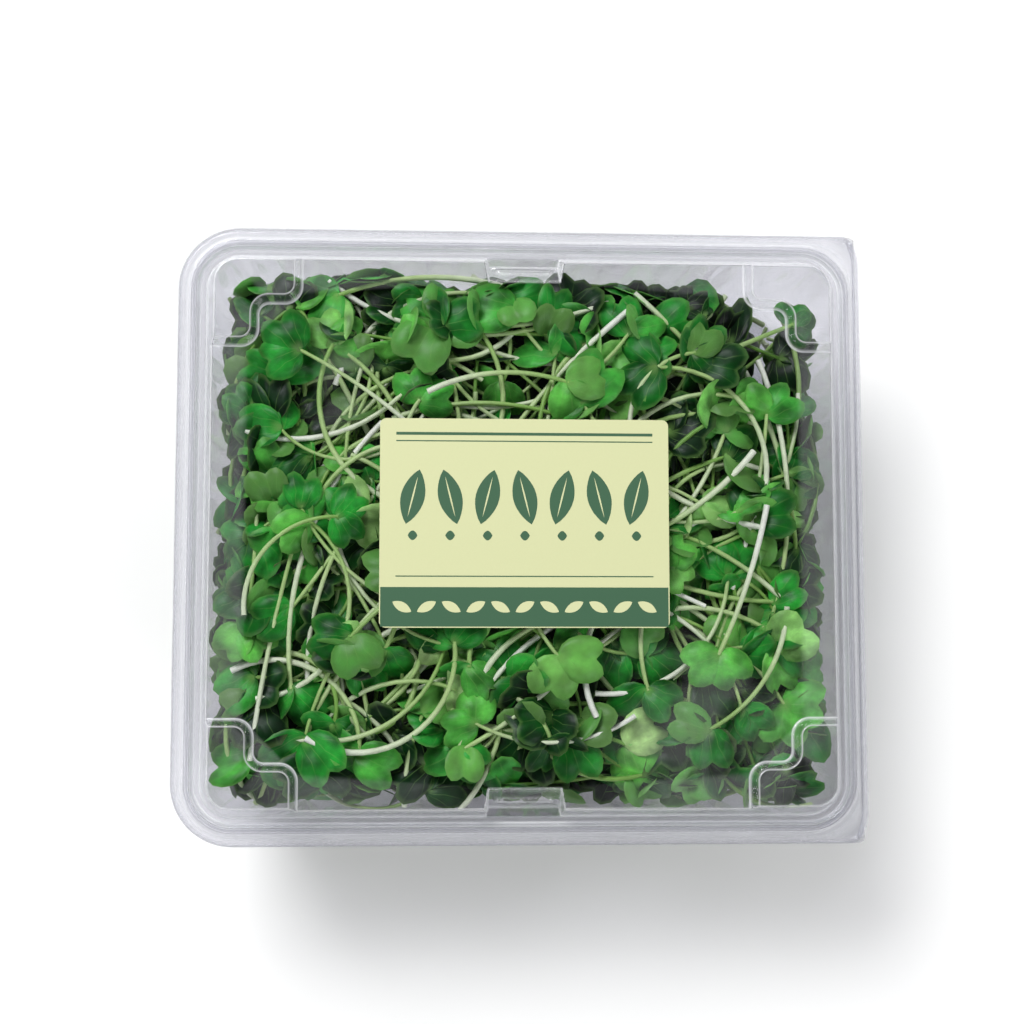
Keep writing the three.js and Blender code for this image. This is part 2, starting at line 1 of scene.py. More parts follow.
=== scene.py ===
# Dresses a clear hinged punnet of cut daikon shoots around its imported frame.
# Laid out as an add-on: each operator makes one piece or one group of like pieces.
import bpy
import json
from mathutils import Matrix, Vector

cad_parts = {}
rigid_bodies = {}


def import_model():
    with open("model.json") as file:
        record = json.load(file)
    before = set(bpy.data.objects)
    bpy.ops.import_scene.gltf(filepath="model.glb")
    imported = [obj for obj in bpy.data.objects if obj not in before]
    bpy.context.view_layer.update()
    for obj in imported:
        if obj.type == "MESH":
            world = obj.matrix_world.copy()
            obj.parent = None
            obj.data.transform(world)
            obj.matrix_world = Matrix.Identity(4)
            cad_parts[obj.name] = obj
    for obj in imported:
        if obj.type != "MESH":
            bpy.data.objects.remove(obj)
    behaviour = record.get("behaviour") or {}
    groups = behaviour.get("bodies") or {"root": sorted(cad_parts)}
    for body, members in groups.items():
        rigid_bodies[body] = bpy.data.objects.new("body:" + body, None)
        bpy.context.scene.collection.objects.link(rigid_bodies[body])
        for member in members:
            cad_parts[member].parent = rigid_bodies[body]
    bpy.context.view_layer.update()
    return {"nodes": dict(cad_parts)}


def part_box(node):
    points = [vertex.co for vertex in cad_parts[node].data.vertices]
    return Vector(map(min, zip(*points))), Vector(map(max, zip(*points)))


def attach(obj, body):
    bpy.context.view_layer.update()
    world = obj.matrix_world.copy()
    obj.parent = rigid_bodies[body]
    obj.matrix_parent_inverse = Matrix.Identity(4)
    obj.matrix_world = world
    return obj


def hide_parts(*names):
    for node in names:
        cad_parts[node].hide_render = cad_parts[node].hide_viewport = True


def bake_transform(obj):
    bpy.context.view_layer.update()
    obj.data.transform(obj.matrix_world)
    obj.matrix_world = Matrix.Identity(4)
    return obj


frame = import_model()

import json
import math

import bpy
import numpy as np
from bpy.props import FloatProperty, FloatVectorProperty, IntProperty, PointerProperty
from mathutils import Matrix, Vector
from mathutils.geometry import delaunay_2d_cdt

bl_info = {
    "name": "Shoot Punnet",
    "version": (1, 0, 0),
    "blender": (4, 5, 0),
    "location": "3D View > Sidebar > Punnet",
    "description": "Makes a clear hinged punnet filled with cut daikon shoots",
    "category": "Object",
}

MM = 0.001
LABEL_LOW, LABEL_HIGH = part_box("label")

# Sizes that part.mjs states too, in millimetres
WIDTH = 218.0
DEPTH = 194.0
SHEET = 0.6
GAP = 0.3
CORNER = 19.5
HINGE_CORNER = 4.0
SEAM = 60.0
PANEL = SEAM + 8.6
LUG_RISE = 4.0
ROLL = 0.9
HINGE_X = WIDTH / 2 - ROLL
HINGE_Z = SEAM - GAP / 2
MOUTH = 8.4
FLOOR = 14.0
UPSTAND = 9.2
UPSTAND_LEAN = 2.2
FOOT_WIDTH = 11.0
FOOT_RISE = 1.5
LUG_REACH = 38.4
LUG_STEP = 24.9
LUG_ROUND = 4.5
BAY_HALF, BAY_FOOT, BAY_HEAD = 11.2, 11.8, 17.7
BAR_HALF, BAR_RISE = 8.2, 2.2
BEAD_OUTER, BEAD_INNER, BEAD_END, BEAD_LEAN = 3.2, 7.0, 7.6, 0.8
STEM_RADIUS = 1.05
BLADE_THICKNESS = 0.7
RIM_TOP = SEAM - GAP
WALL_LEAN = (FLOOR - MOUTH) / RIM_TOP


def linear(hex_colour):
    """An sRGB hex colour as linear RGBA."""
    parts = [int(hex_colour[i:i + 2], 16) / 255 for i in (1, 3, 5)]
    low = [c / 12.92 if c <= 0.04045 else ((c + 0.055) / 1.055) ** 2.4 for c in parts]
    return (*low, 1.0)


class PunnetSettings(bpy.types.PropertyGroup):
    """Sizes and colours of the clear sheet and the label."""
    flute_depth: FloatProperty(
        name="Flute depth", description="How far a full flute stands out of the wall",
        default=0.9 * MM, unit="LENGTH")
    flute_count: IntProperty(
        name="Flutes", description="Flutes round the tray", default=78, min=1)
    sheet_tint: FloatVectorProperty(
        name="Sheet tint", description="What one face of the clear sheet lets through",
        default=linear("#f6f6f8")[:3], subtype="COLOR", size=3)
    ink: FloatVectorProperty(
        name="Ink", description="The label's dark green ink", default=linear("#3b6046")[:3],
        subtype="COLOR", size=3)
    paper: FloatVectorProperty(
        name="Paper", description="The label's pale ground", default=linear("#ced1a2")[:3],
        subtype="COLOR", size=3)


class ShootSettings(bpy.types.PropertyGroup):
    """How many shoots fill the punnet and how thick they are."""
    top_count: IntProperty(name="Top shoots", description="Shoots under the lid", default=330)
    side_count: IntProperty(name="Side shoots", description="Shoots along each long wall", default=64)
    floor_count: IntProperty(name="Floor shoots", description="Shoots on the tray's floor", default=140)
    stem_sides: IntProperty(name="Stem sides", description="Sides of a stem's section", default=6, min=3)
    stem_scale: FloatProperty(name="Stem scale", description="Scales every stem's radius", default=1.0)


def settings():
    return bpy.context.scene.punnet


def shoots():
    return bpy.context.scene.punnet_shoots


# Meshes

def new_object(name, mesh):
    made = bpy.data.objects.new(name, mesh)
    bpy.context.scene.collection.objects.link(made)
    return made


def mesh_from(name, points, faces, smooth=True):
    mesh = bpy.data.meshes.new(name)
    mesh.from_pydata([tuple(p) for p in points], [], [tuple(f) for f in faces])
    mesh.validate()
    if smooth:
        mesh.shade_smooth()
    return mesh


def dress(piece, body, slot, *replaced):
    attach(piece, body)
    if replaced:
        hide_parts(*replaced)
    return piece


def add_node(tree, kind, values=None, **attributes):
    """Adds a node, sets its attributes, and fills its inputs with values or links from other sockets."""
    node = tree.nodes.new(kind)
    for key, value in attributes.items():
        setattr(node, key, value)
    for key, value in (values or {}).items():
        if isinstance(value, bpy.types.NodeSocket):
            tree.links.new(value, node.inputs[key])
        else:
            node.inputs[key].default_value = value
    return node


def reckon(tree, operation, *terms):
    """One step of arithmetic on numbers or sockets."""
    return add_node(tree, "ShaderNodeMath", dict(enumerate(terms)), operation=operation).outputs["Value"]


def scaled(tree, vector, factor):
    return add_node(tree, "ShaderNodeVectorMath", {0: vector, "Scale": factor},
                    operation="SCALE").outputs["Vector"]


# Shader steps that several materials take

def new_material(name):
    material = bpy.data.materials.new(name)
    material.use_nodes = True
    tree = material.node_tree
    tree.nodes.clear()
    return material, tree


def finish_material(tree, shader):
    add_node(tree, "ShaderNodeOutputMaterial", {"Surface": shader})


def finish_opaque(tree, values):
    finish_material(tree, add_node(tree, "ShaderNodeBsdfPrincipled", values).outputs["BSDF"])


def object_place(tree):
    return add_node(tree, "ShaderNodeTexCoord").outputs["Object"]


def attribute(tree, name, output="Fac"):
    return add_node(tree, "ShaderNodeAttribute", attribute_name=name).outputs[output]


def remap(tree, value, start, end, low, high, smooth=True):
    """Carries a value between start and end over to low and high, and holds it outside them."""
    return add_node(tree, "ShaderNodeMapRange", {
        "Value": value, "From Min": start, "From Max": end, "To Min": low, "To Max": high},
        interpolation_type="SMOOTHSTEP" if smooth else "LINEAR").outputs["Result"]


def noise(tree, place, size, detail, **more):
    """Noise whose lumps are about size millimetres long."""
    return add_node(tree, "ShaderNodeTexNoise", {
        "Vector": place, "Scale": 1 / (size * MM), "Detail": detail, **more}).outputs["Fac"]


def relief(tree, height, strength, depth):
    """The normal of a surface with this relief, whose depth is in millimetres."""
    return add_node(tree, "ShaderNodeBump", {
        "Height": height, "Strength": strength, "Distance": depth * MM}).outputs["Normal"]


def colour_ramp(tree, share, first, last, *between_them):
    node = add_node(tree, "ShaderNodeValToRGB", {0: share})
    ramp = node.color_ramp
    ramp.elements[0].color = linear(first)
    ramp.elements[1].color = linear(last)
    for position, colour in between_them:
        ramp.elements.new(position).color = linear(colour)
    return node.outputs["Color"]


def mix_colour(tree, share, one, other):
    return add_node(tree, "ShaderNodeMix", {0: share, 6: one, 7: other}, data_type="RGBA").outputs[2]


def mix_shader(tree, share, one, other):
    return add_node(tree, "ShaderNodeMixShader", {0: share, 1: one, 2: other}).outputs["Shader"]


def diffuse(tree, colour):
    return add_node(tree, "ShaderNodeBsdfDiffuse", {"Color": linear(colour)}).outputs["BSDF"]


# Materials

SHEET_INDEX = 1.57
# Share of white diffuse mixed in at the sheet's tightest bends: a painted highlight along the folds
BEND_HIGHLIGHT = 0.3


def make_clear_sheet(name, misted):
    """PET: a clear thermoformed sheet, glossy, faintly grey, IOR 1.57.

    Two faces in a row let the ground through a little darker each time, so the doubled rim reads grey.
    """
    material, tree = new_material(name)
    clear = add_node(tree, "ShaderNodeBsdfTransparent", {"Color": (*settings().sheet_tint, 1.0)})
    # Ripples of the thermoformed sheet, about 14 mm long and a few hundredths deep
    place = object_place(tree)
    ripple = relief(tree, noise(tree, place, 14, 1.0), 0.25, 0.12)
    gloss = add_node(tree, "ShaderNodeBsdfGlossy", {
        "Color": (1, 1, 1, 1), "Roughness": 0.06, "Normal": ripple})
    # The Fresnel node turns the index over on a face seen from inside the sheet; light passes this
    # sheet unbent, so its far face gets the turned index and both faces mirror alike
    back = add_node(tree, "ShaderNodeNewGeometry").outputs["Backfacing"]
    index = remap(tree, back, 0, 1, SHEET_INDEX, 1 / SHEET_INDEX, smooth=False)
    mirrored = add_node(tree, "ShaderNodeFresnel", {"IOR": index, "Normal": ripple}).outputs["Fac"]
    surface = mix_shader(tree, mirrored, clear.outputs["BSDF"], gloss.outputs["BSDF"])
    # Where the sheet is bent tightly a white diffuse is mixed in: partly the faint milkiness of stretched
    # sheet, mostly a painted highlight that stands in for the bright lines reflection and refraction draw
    # along the folds
    painted_bend_light = reckon(tree, "MULTIPLY", attribute(tree, "bend"), BEND_HIGHLIGHT)
    surface = mix_shader(tree, painted_bend_light, surface, diffuse(tree, "#f4f5f7"))
    if misted:
        surface = add_mist(tree, place, surface)
    finish_material(tree, surface)
    material.surface_render_method = "BLENDED"
    return material


# Where moisture has settled under the panel: middle, reach in metres, and share of light it scatters
MIST_SPOTS = (((0.056, -0.062, 0.0686), 0.044, 0.04), ((-0.060, 0.046, 0.0686), 0.018, 0.05))


def add_mist(tree, place, surface):
    """Moisture that dulls the clear panel in soft, torn patches 20 to 60 mm wide."""
    wide = noise(tree, place, 30, 4.0, Roughness=0.62, Distortion=0.9)
    torn = remap(tree, wide, 0.42, 0.6, 0.0, 1.0, smooth=False)
    cover = 0.0
    for centre, reach, strength in MIST_SPOTS:
        distance = add_node(tree, "ShaderNodeVectorMath", {0: place, 1: centre},
                            operation="DISTANCE").outputs["Value"]
        near = remap(tree, distance, 0.2 * reach, reach, strength, 0.0)
        cover = reckon(tree, "MULTIPLY_ADD", near, torn, cover)
    return mix_shader(tree, cover, surface, diffuse(tree, "#dfe6e0"))


def make_coated_paper(name, colour):
    """Coated label paper: an even print ground, satin, with fibres of about half a millimetre."""
    material, tree = new_material(name)
    fibre = noise(tree, object_place(tree), 0.5, 4.0)
    tone = mix_colour(tree, fibre, (*[c * 0.955 for c in colour], 1), (*colour, 1))
    finish_opaque(tree, {"Base Color": tone, "Roughness": 0.52, "IOR": 1.45,
                         "Normal": relief(tree, fibre, 0.3, 0.01)})
    return material


def painted_depth_shade(tree, place):
    """Painted light and shade by height: darker low in the heap, where less light reaches the shoots, and
    brighter at its top.
    """
    height = add_node(tree, "ShaderNodeSeparateXYZ", {0: place}).outputs["Z"]
    return remap(tree, height, 42 * MM, 65 * MM, 0.6, 1.2)


def make_seed_leaf():
    """Fresh cotyledon: waxy deep green above, matt and paler below, with pale ribs from the stalk."""
    material, tree = new_material("fresh_cotyledon")
    blade = attribute(tree, "blade", "Vector")
    parts = add_node(tree, "ShaderNodeSeparateXYZ", {0: blade}).outputs
    place = object_place(tree)
    greens = colour_ramp(tree, attribute(tree, "tint"), "#021a07", "#b4da8a", (0.2, "#052e0b"),
                         (0.42, "#0a5413"), (0.66, "#279230"), (0.86, "#62b648"))
    # Cells of the blade, about 1.5 mm across, seen as a faint mottle
    mottle = noise(tree, place, 1.5, 3.0)
    shade = remap(tree, mottle, 0.3, 0.7, 0.86, 1.12, smooth=False)
    # Painted light and shade: noise over about 7 mm makes one half of a blade often darker than the other,
    # standing in for the shading across the curved blades
    patch = remap(tree, noise(tree, place, 7, 1.0), 0.32, 0.66, 0.42, 1.35, smooth=False)
    toned = reckon(tree, "MULTIPLY", reckon(tree, "MULTIPLY", shade, patch), painted_depth_shade(tree, place))
    surface = scaled(tree, greens, toned)
    # Ribs: the midrib, and three on each side that fade before the rim
    wave = reckon(tree, "PINGPONG", reckon(tree, "MULTIPLY", parts["X"], 3.5), 0.5)
    rib = remap(tree, wave, 0.0, 0.07, 0.46, 0.0)
    fade = remap(tree, parts["Y"], 0.25, 0.9, 1.0, 0.1, smooth=False)
    stalk = remap(tree, parts["Y"], 0.0, 0.34, 0.62, 0.0)
    pale = reckon(tree, "MAXIMUM", reckon(tree, "MULTIPLY", rib, fade), stalk)
    surface = mix_colour(tree, pale, surface, linear("#8fbd66"))
    # The blade thins in its outermost half millimetre, and is painted paler there as a painted glow of the
    # light that shines through its thin edge
    rim = remap(tree, parts["Y"], 0.86, 1.0, 0.0, 0.24)
    surface = mix_colour(tree, rim, surface, linear("#8cbb62"))
    under = remap(tree, parts["Z"], 0.0, -0.5, 0.0, 0.5, smooth=False)
    surface = mix_colour(tree, under, surface, linear("#82bb5e"))
    finish_opaque(tree, {"Base Color": surface, "Roughness": 0.4, "IOR": 1.45,
                         "Specular IOR Level": 0.3, "Normal": relief(tree, mottle, 0.35, 0.12)})
    return material


def make_stem():
    """Fresh hypocotyl: moist and smooth, green by the leaves and blanched white towards the cut."""
    material, tree = new_material("blanched_stem")
    place = object_place(tree)
    along = reckon(tree, "MULTIPLY", attribute(tree, "share"), 0.58)
    reach = reckon(tree, "MULTIPLY_ADD", attribute(tree, "tint"), 0.48, along)
    colour = colour_ramp(tree, reach, "#5c9036", "#f0f3e4", (0.3, "#86b256"), (0.6, "#b6d18b"),
                         (0.85, "#e0e9ca"))
    # Fibres run along the stem and break up its gloss about every 3 mm
    shade = remap(tree, noise(tree, place, 3, 2.0), 0.3, 0.7, 0.88, 1.06, smooth=False)
    toned = scaled(tree, colour, reckon(tree, "MULTIPLY", shade, painted_depth_shade(tree, place)))
    finish_opaque(tree, {"Base Color": toned, "Roughness": 0.38, "IOR": 1.4})
    return material


def make_painted_core_shade():
    """Painted shade for the inside of the heap: crushed leaf and stem, matt, in dark greens that stand for
    the shade among the shoots, with tufts about 9 mm across.
    """
    material, tree = new_material("packed_greens")
    tufts = add_node(tree, "ShaderNodeTexVoronoi", {
        "Vector": object_place(tree), "Scale": 1 / (9 * MM)}).outputs["Distance"]
    finish_opaque(tree, {"Base Color": colour_ramp(tree, tufts, "#1c4d20", "#0a2210"),
                         "Roughness": 0.7, "Normal": relief(tree, tufts, 0.8, 1.5)})
    return material


def make_husk():
    """Dry seed husk: brittle red-brown skin with a wrinkle about every 0.6 mm."""
    material, tree = new_material("dry_husk")
    wrinkle = noise(tree, object_place(tree), 0.6, 3.0)
    finish_opaque(tree, {"Base Color": mix_colour(tree, wrinkle, linear("#4d1f15"), linear("#96543a")),
                         "Roughness": 0.5, "Normal": relief(tree, wrinkle, 0.6, 0.1)})
    return material


# The clear lid: a height over the plan, drawn through the lines where the sheet bends

def smooth_min(a, b, k):
    h = np.clip(0.5 + 0.5 * (b - a) / k, 0, 1)
    return b + (a - b) * h - k * h * (1 - h)


def smooth_max(a, b, k):
    return -smooth_min(-a, -b, k)


def smooth_step(x):
    x = np.clip(x, 0, 1)
    return x * x * (3 - 2 * x)


def edge_inset(x, y):
    """Distance inwards from the rounded outline, in millimetres."""
    qx = np.abs(x) - (WIDTH / 2 - CORNER)
    qy = np.abs(y) - (DEPTH / 2 - CORNER)
    outside = np.hypot(np.maximum(qx, 0), np.maximum(qy, 0))
    return CORNER - outside - np.minimum(np.maximum(qx, qy), 0)


def lug_distance(x, y):
    """Distance from the stepped outline of the nearest stacking lug, below 0 inside it."""
    inset_x = WIDTH / 2 - np.abs(x)
    inset_y = DEPTH / 2 - np.abs(y)

    def corner(reach_x, reach_y):
        qx = inset_x - (reach_x - LUG_ROUND)
        qy = inset_y - (reach_y - LUG_ROUND)
        far = np.hypot(np.maximum(qx, 0), np.maximum(qy, 0))
        return far + np.minimum(np.maximum(qx, qy), 0) - LUG_ROUND

    a = corner(LUG_REACH, LUG_STEP)
    b = corner(LUG_STEP, LUG_REACH)
    u = np.maximum(LUG_ROUND - a, 0)
    v = np.maximum(LUG_ROUND - b, 0)
    return np.maximum(LUG_ROUND, np.minimum(a, b)) - np.hypot(u, v)


# The finer forms of the lid, in millimetres
LUG_WALL = 2.6
BEAD_RISE = 2.2
FILLET = 0.9
BEAD_EASE = 0.12
BAY_SIDE_SLOPE = 7.5
BAR_HEIGHT = 1.5


def lid_height(x, y):
    """The lid's upper face over the plan, in millimetres."""
    top = SEAM + SHEET
    s = edge_inset(x, y)
    rise = np.clip(np.minimum(s - BEAD_OUTER, BEAD_INNER - s) / BEAD_LEAN, -1, 2)
    bead = top + BEAD_RISE * smooth_step((rise + BEAD_EASE) / (1 + 2 * BEAD_EASE))
    lug = smooth_step(0.5 - lug_distance(x, y) / LUG_WALL)
    wall = top + (s - UPSTAND) * (PANEL - top) / UPSTAND_LEAN
    dome = smooth_min(wall, PANEL + LUG_RISE * lug, FILLET)
    slope = (PANEL - top) / (BAY_HEAD - BAY_FOOT)
    inset_y = DEPTH / 2 - np.abs(y)
    bay = top + (inset_y - BAY_FOOT) * slope + np.maximum(0, np.abs(x) - BAY_HALF) * BAY_SIDE_SLOPE
    dome = smooth_min(dome, bay, FILLET * 0.8)
    bar_y = DEPTH / 2 - BAY_FOOT - BAR_RISE / slope
    along = np.maximum(0, np.abs(x) - BAR_HALF)
    bar = BAR_HEIGHT * np.exp(-((np.abs(y) - bar_y) ** 2) - (along / 0.8) ** 2)
    inner = smooth_max(np.full_like(s, top), dome, FILLET * 0.6) + bar
    return np.where(s < BEAD_END, bead, inner)


def arc(cx, cy, radius, start, end, steps):
    angles = np.radians(np.linspace(start, end, steps + 1))
    return [(cx + radius * math.cos(a), cy + radius * math.sin(a)) for a in angles]


def rounded_outline(inset, free, hinged, right=None, steps=16):
    """A rounded rectangle, anticlockwise. Its corners differ on the free and the hinged side."""
    x0 = -WIDTH / 2 + inset
    x1 = WIDTH / 2 - inset if right is None else min(right, WIDTH / 2 - inset)
    y1 = DEPTH / 2 - inset
    ring = arc(x1 - hinged, y1 - hinged, hinged, 0, 90, steps)
    ring += arc(x0 + free, y1 - free, free, 90, 180, steps)
    ring += arc(x0 + free, -y1 + free, free, 180, 270, steps)
    ring += arc(x1 - hinged, -y1 + hinged, hinged, 270, 360, steps)
    return ring


def lug_line(offset):
    """The stepped outline of a lug, moved outwards by offset, in insets from the corner's edges."""
    reach = LUG_REACH - LUG_ROUND
    step = LUG_STEP - LUG_ROUND
    hollow = LUG_STEP + LUG_ROUND
    out = LUG_ROUND + offset
    line = [(LUG_REACH + offset, 8.6), (LUG_REACH + offset, 12.5)]
    line += arc(reach, step, out, 0, 90, 10)
    line += arc(hollow, hollow, LUG_ROUND - offset, 270, 180, 10)
    line += arc(step, reach, out, 0, 90, 10)
    return line + [(12.5, LUG_REACH + offset), (8.6, LUG_REACH + offset)]


def lid_lines():
    """Every line along which the lid's sheet is bent, as (points, closed)."""
    lines = []
    insets = [3.0, 3.25, 3.6, 4.0, 4.3, 5.1, 5.9, 6.2, 6.6, 6.95, 7.2, 7.6, 8.4]
    insets += [8.9, 9.15, 9.4, 9.8, 10.4, 11.0, 11.25, 11.5, 11.75, 12.1, 12.4, 12.7, 13.1, 14.2]
    for inset in insets:
        radius = max(CORNER - inset, 1.0)
        lines.append((rounded_outline(inset, radius, radius), True))
    half = (0.1, 0.2, 0.29, 0.37, 0.44, 0.5, 0.56)
    for share in (*(-share for share in half[::-1]), 0.0, *half):
        outline = lug_line(share * LUG_WALL)
        for side_x in (-1, 1):
            for side_y in (-1, 1):
                corner = [(side_x * (WIDTH / 2 - a), side_y * (DEPTH / 2 - b)) for a, b in outline]
                lines.append((corner, False))
    for side in (-1, 1):
        for x in (10.7, 11.2, 11.45, 11.7, 11.95, 12.2, 12.5):
            for mirror in (-1, 1):
                ends = [(mirror * x, side * (DEPTH / 2 - inset)) for inset in (8.0, 19.0)]
                lines.append((ends, False))
        for inset in np.arange(11.0, 18.7, 0.4):
            y = side * (DEPTH / 2 - inset)
            lines.append(([(x, y) for x in np.linspace(-12.9, 12.9, 30)], False))
    return lines


def lid_plan(outline):
    """Triangles over the lid's plan that follow its bend lines."""
    points = [Vector(p) for p in outline]
    edges = [(i, (i + 1) % len(outline)) for i in range(len(outline))]
    for line, closed in lid_lines():
        first = len(points)
        points += [Vector(p) for p in line]
        count = len(line)
        edges += [(first + i, first + i + 1) for i in range(count - 1)]
        if closed:
            edges.append((first + count - 1, first))
    face = [list(range(len(outline)))]
    found = delaunay_2d_cdt(points, edges, face, 1, 1e-4)
    return np.array([tuple(p) for p in found[0]]), [tuple(f) for f in found[2]]


def sheet_normals(x, y):
    step = 0.05
    dx = (lid_height(x + step, y) - lid_height(x - step, y)) / (2 * step)
    dy = (lid_height(x, y + step) - lid_height(x, y - step)) / (2 * step)
    normal = np.stack([-dx, -dy, np.ones_like(dx)], 1)
    return normal / np.linalg.norm(normal, axis=1)[:, None]


def store(mesh, name, kind, values):
    """Adds a point attribute to a mesh."""
    layer = mesh.attributes.new(name, kind, "POINT")
    layer.data.foreach_set("vector" if kind == "FLOAT_VECTOR" else "value", np.ravel(values))


def sheet_bend(x, y):
    """How tightly the lid is bent at each point, from 0 to 1; the sheet's material paints a highlight where
    it is high.
    """
    reach = 0.22
    spread = [np.linalg.norm(sheet_normals(x + a, y + b) - sheet_normals(x - a, y - b), axis=1)
              for a, b in ((reach, 0), (0, reach))]
    turn = np.hypot(*spread) / (2 * reach)
    return np.clip((turn - 0.35) / 1.1, 0, 1)


def make_lid_mesh():
    right = HINGE_X - ROLL - GAP
    outline = rounded_outline(0, CORNER, HINGE_CORNER, right)
    plan, faces = lid_plan(outline)
    x, y = plan[:, 0], plan[:, 1]
    top = np.stack([x, y, lid_height(x, y)], 1)
    normal = sheet_normals(x, y)
    under = top - normal * SHEET
    count = len(plan)
    uses = {}
    for face in faces:
        for a, b in zip(face, face[1:] + face[:1]):
            uses[(a, b)] = uses.get((a, b), 0) + 1
    rim = [(a, b) for (a, b) in uses if (b, a) not in uses]
    all_faces = list(faces)
    all_faces += [tuple(count + i for i in reversed(face)) for face in faces]
    all_faces += [(b, a, count + a, count + b) for a, b in rim]
    mesh = mesh_from("lid_sheet", np.vstack([top, under]) * MM, all_faces)
    normals = np.vstack([normal, -normal])
    mesh.normals_split_custom_set_from_vertices([tuple(n) for n in normals])
    store(mesh, "bend", "FLOAT", np.tile(sheet_bend(x, y), 2).astype(np.float32))
    return mesh


# The clear tray: rings round the plan, with flutes pressed into the wall by geometry nodes

FLUTE_POINTS = 8
FLUTE_RUN_OUT = 10.0
# The rim's corners widen from the hinge's to the wall's over this inset
CORNER_BLEND = 3.0
# How far before the hinge's axis the rim ends
ROLL_GAP = 0.45


def even_ring(inset, count, hinge_radius=None):
    """Evenly spaced points round the outline at an inset, with their outward directions."""
    half_x, half_y = WIDTH / 2 - inset, DEPTH / 2 - inset
    radius = max(CORNER - inset, CORNER - MOUTH)
    places, outward = [], []
    straight = {0: 2 * (half_y - radius), 1: 2 * (half_x - radius)}
    bend = math.pi / 2 * radius
    runs = [straight[0], bend, straight[1], bend] * 2
    length = sum(runs)
    for i in range(count):
        along = length * (i + 0.5) / count
        run = 0
        while along > runs[run]:
            along -= runs[run]
            run += 1
        quarter = run // 2
        turn = quarter * math.pi / 2
        angle = turn + (along / radius if run % 2 else 0)
        out = Vector((math.cos(angle), math.sin(angle)))
        centre = Vector(((1 if quarter in (0, 3) else -1) * (half_x - radius),
                         (1 if quarter < 2 else -1) * (half_y - radius)))
        if run % 2 == 0:
            centre += Vector((-math.sin(turn), math.cos(turn))) * (along - runs[run])
        place = centre + out * radius
        if hinge_radius is not None and place.x > 0:
            place = square_off(place, half_x, half_y, radius, hinge_radius)
        places.append(place)
        outward.append(out)
    return places, outward


def square_off(place, half_x, half_y, radius, tight):
    """Moves a point of a corner from its wide arc out to a tight one, along the ray from the middle."""
    cx, cy = half_x - radius, half_y - radius
    dx, dy = place.x - cx, abs(place.y) - cy
    if dx <= 0 or dy <= 0:
        return place
    ray = Vector((dx, dy)).normalized()
    reach = radius - tight
    ahead = ray.x * reach + ray.y * reach
    gap = ahead * ahead - (2 * reach * reach - tight * tight)
    limit = radius / max(ray.x, ray.y)
    far = min(limit, ahead + math.sqrt(gap)) if gap > 0 and min(ray) * limit > reach else limit
    spot = Vector((cx, cy)) + ray * far
    return Vector((spot.x, math.copysign(spot.y, place.y)))


def tray_profile():
    """The tray's upper face from its rim to its floor, as (inset, z, share of the flute's depth)."""
    rim = [(0.0, RIM_TOP), (1.5, RIM_TOP), (3.0, RIM_TOP), (3.8, RIM_TOP), (4.05, RIM_TOP + 0.1),
           (4.35, RIM_TOP + 0.7), (4.65, RIM_TOP + 1.5), (4.85, RIM_TOP + 1.8), (5.1, RIM_TOP + 1.9),
           (5.35, RIM_TOP + 1.8), (5.55, RIM_TOP + 1.5), (5.85, RIM_TOP + 0.7),
           (6.15, RIM_TOP + 0.1), (6.4, RIM_TOP), (7.4, RIM_TOP), (8.3, RIM_TOP)]
    profile = [(s, z, 0.0) for s, z in rim]
    profile += [(8.75, RIM_TOP - 0.12, 0), (9.0, RIM_TOP - 0.45, 0)]
    # The flutes run out below the rim, whose lines are straight
    for z in (58.2, 54, 50, 45, 38, 31, 24, 16, 9, 5):
        depth = z / RIM_TOP * min(1, (RIM_TOP - z) / FLUTE_RUN_OUT)
        profile.append((FLOOR + SHEET - WALL_LEAN * z, z, depth))
    profile += [(FLOOR + SHEET - WALL_LEAN * 2.6, 2.6, 0.03), (14.75, 1.4, 0), (15.3, 0.8, 0),
                (16.2, SHEET, 0), (18.5, SHEET, 0)]
    foot = FLOOR + FOOT_WIDTH
    rise = SHEET + FOOT_RISE
    profile += [(foot - 1.0, SHEET, 0), (foot - 0.5, SHEET + 0.2, 0), (foot + 0.2, rise - 0.2, 0),
                (foot + 0.8, rise, 0), (foot + 3, rise, 0)]
    return profile


def lower_profile(profile):
    """The same profile moved through the sheet, square to it."""
    points = np.array([(s, z) for s, z, _ in profile])
    along = np.gradient(points, axis=0)
    along /= np.linalg.norm(along, axis=1)[:, None]
    moved = points + SHEET * np.stack([along[:, 1], -along[:, 0]], 1)
    moved[0] = (0.0, RIM_TOP - SHEET)
    return [(s, max(z, 0.0), f[2]) for (s, z), f in zip(moved, profile)]


def profile_bend(upper, rings):
    """How tightly the tray's profile is bent at each ring, from 0 to 1; the sheet's material paints a
    highlight where it is high.
    """
    points = np.array([(s, z) for s, z, _ in upper])
    steps = np.diff(points, axis=0)
    angles = np.arctan2(steps[:, 1], steps[:, 0])
    lengths = np.hypot(steps[:, 0], steps[:, 1])
    turn = np.abs(np.diff(angles)) / (0.5 * (lengths[1:] + lengths[:-1]))
    bend = np.concatenate([[1.0], np.clip((turn - 0.3) / 1.2, 0, 1), [0.0]])
    return np.concatenate([bend, bend[::-1]])[:len(rings)]


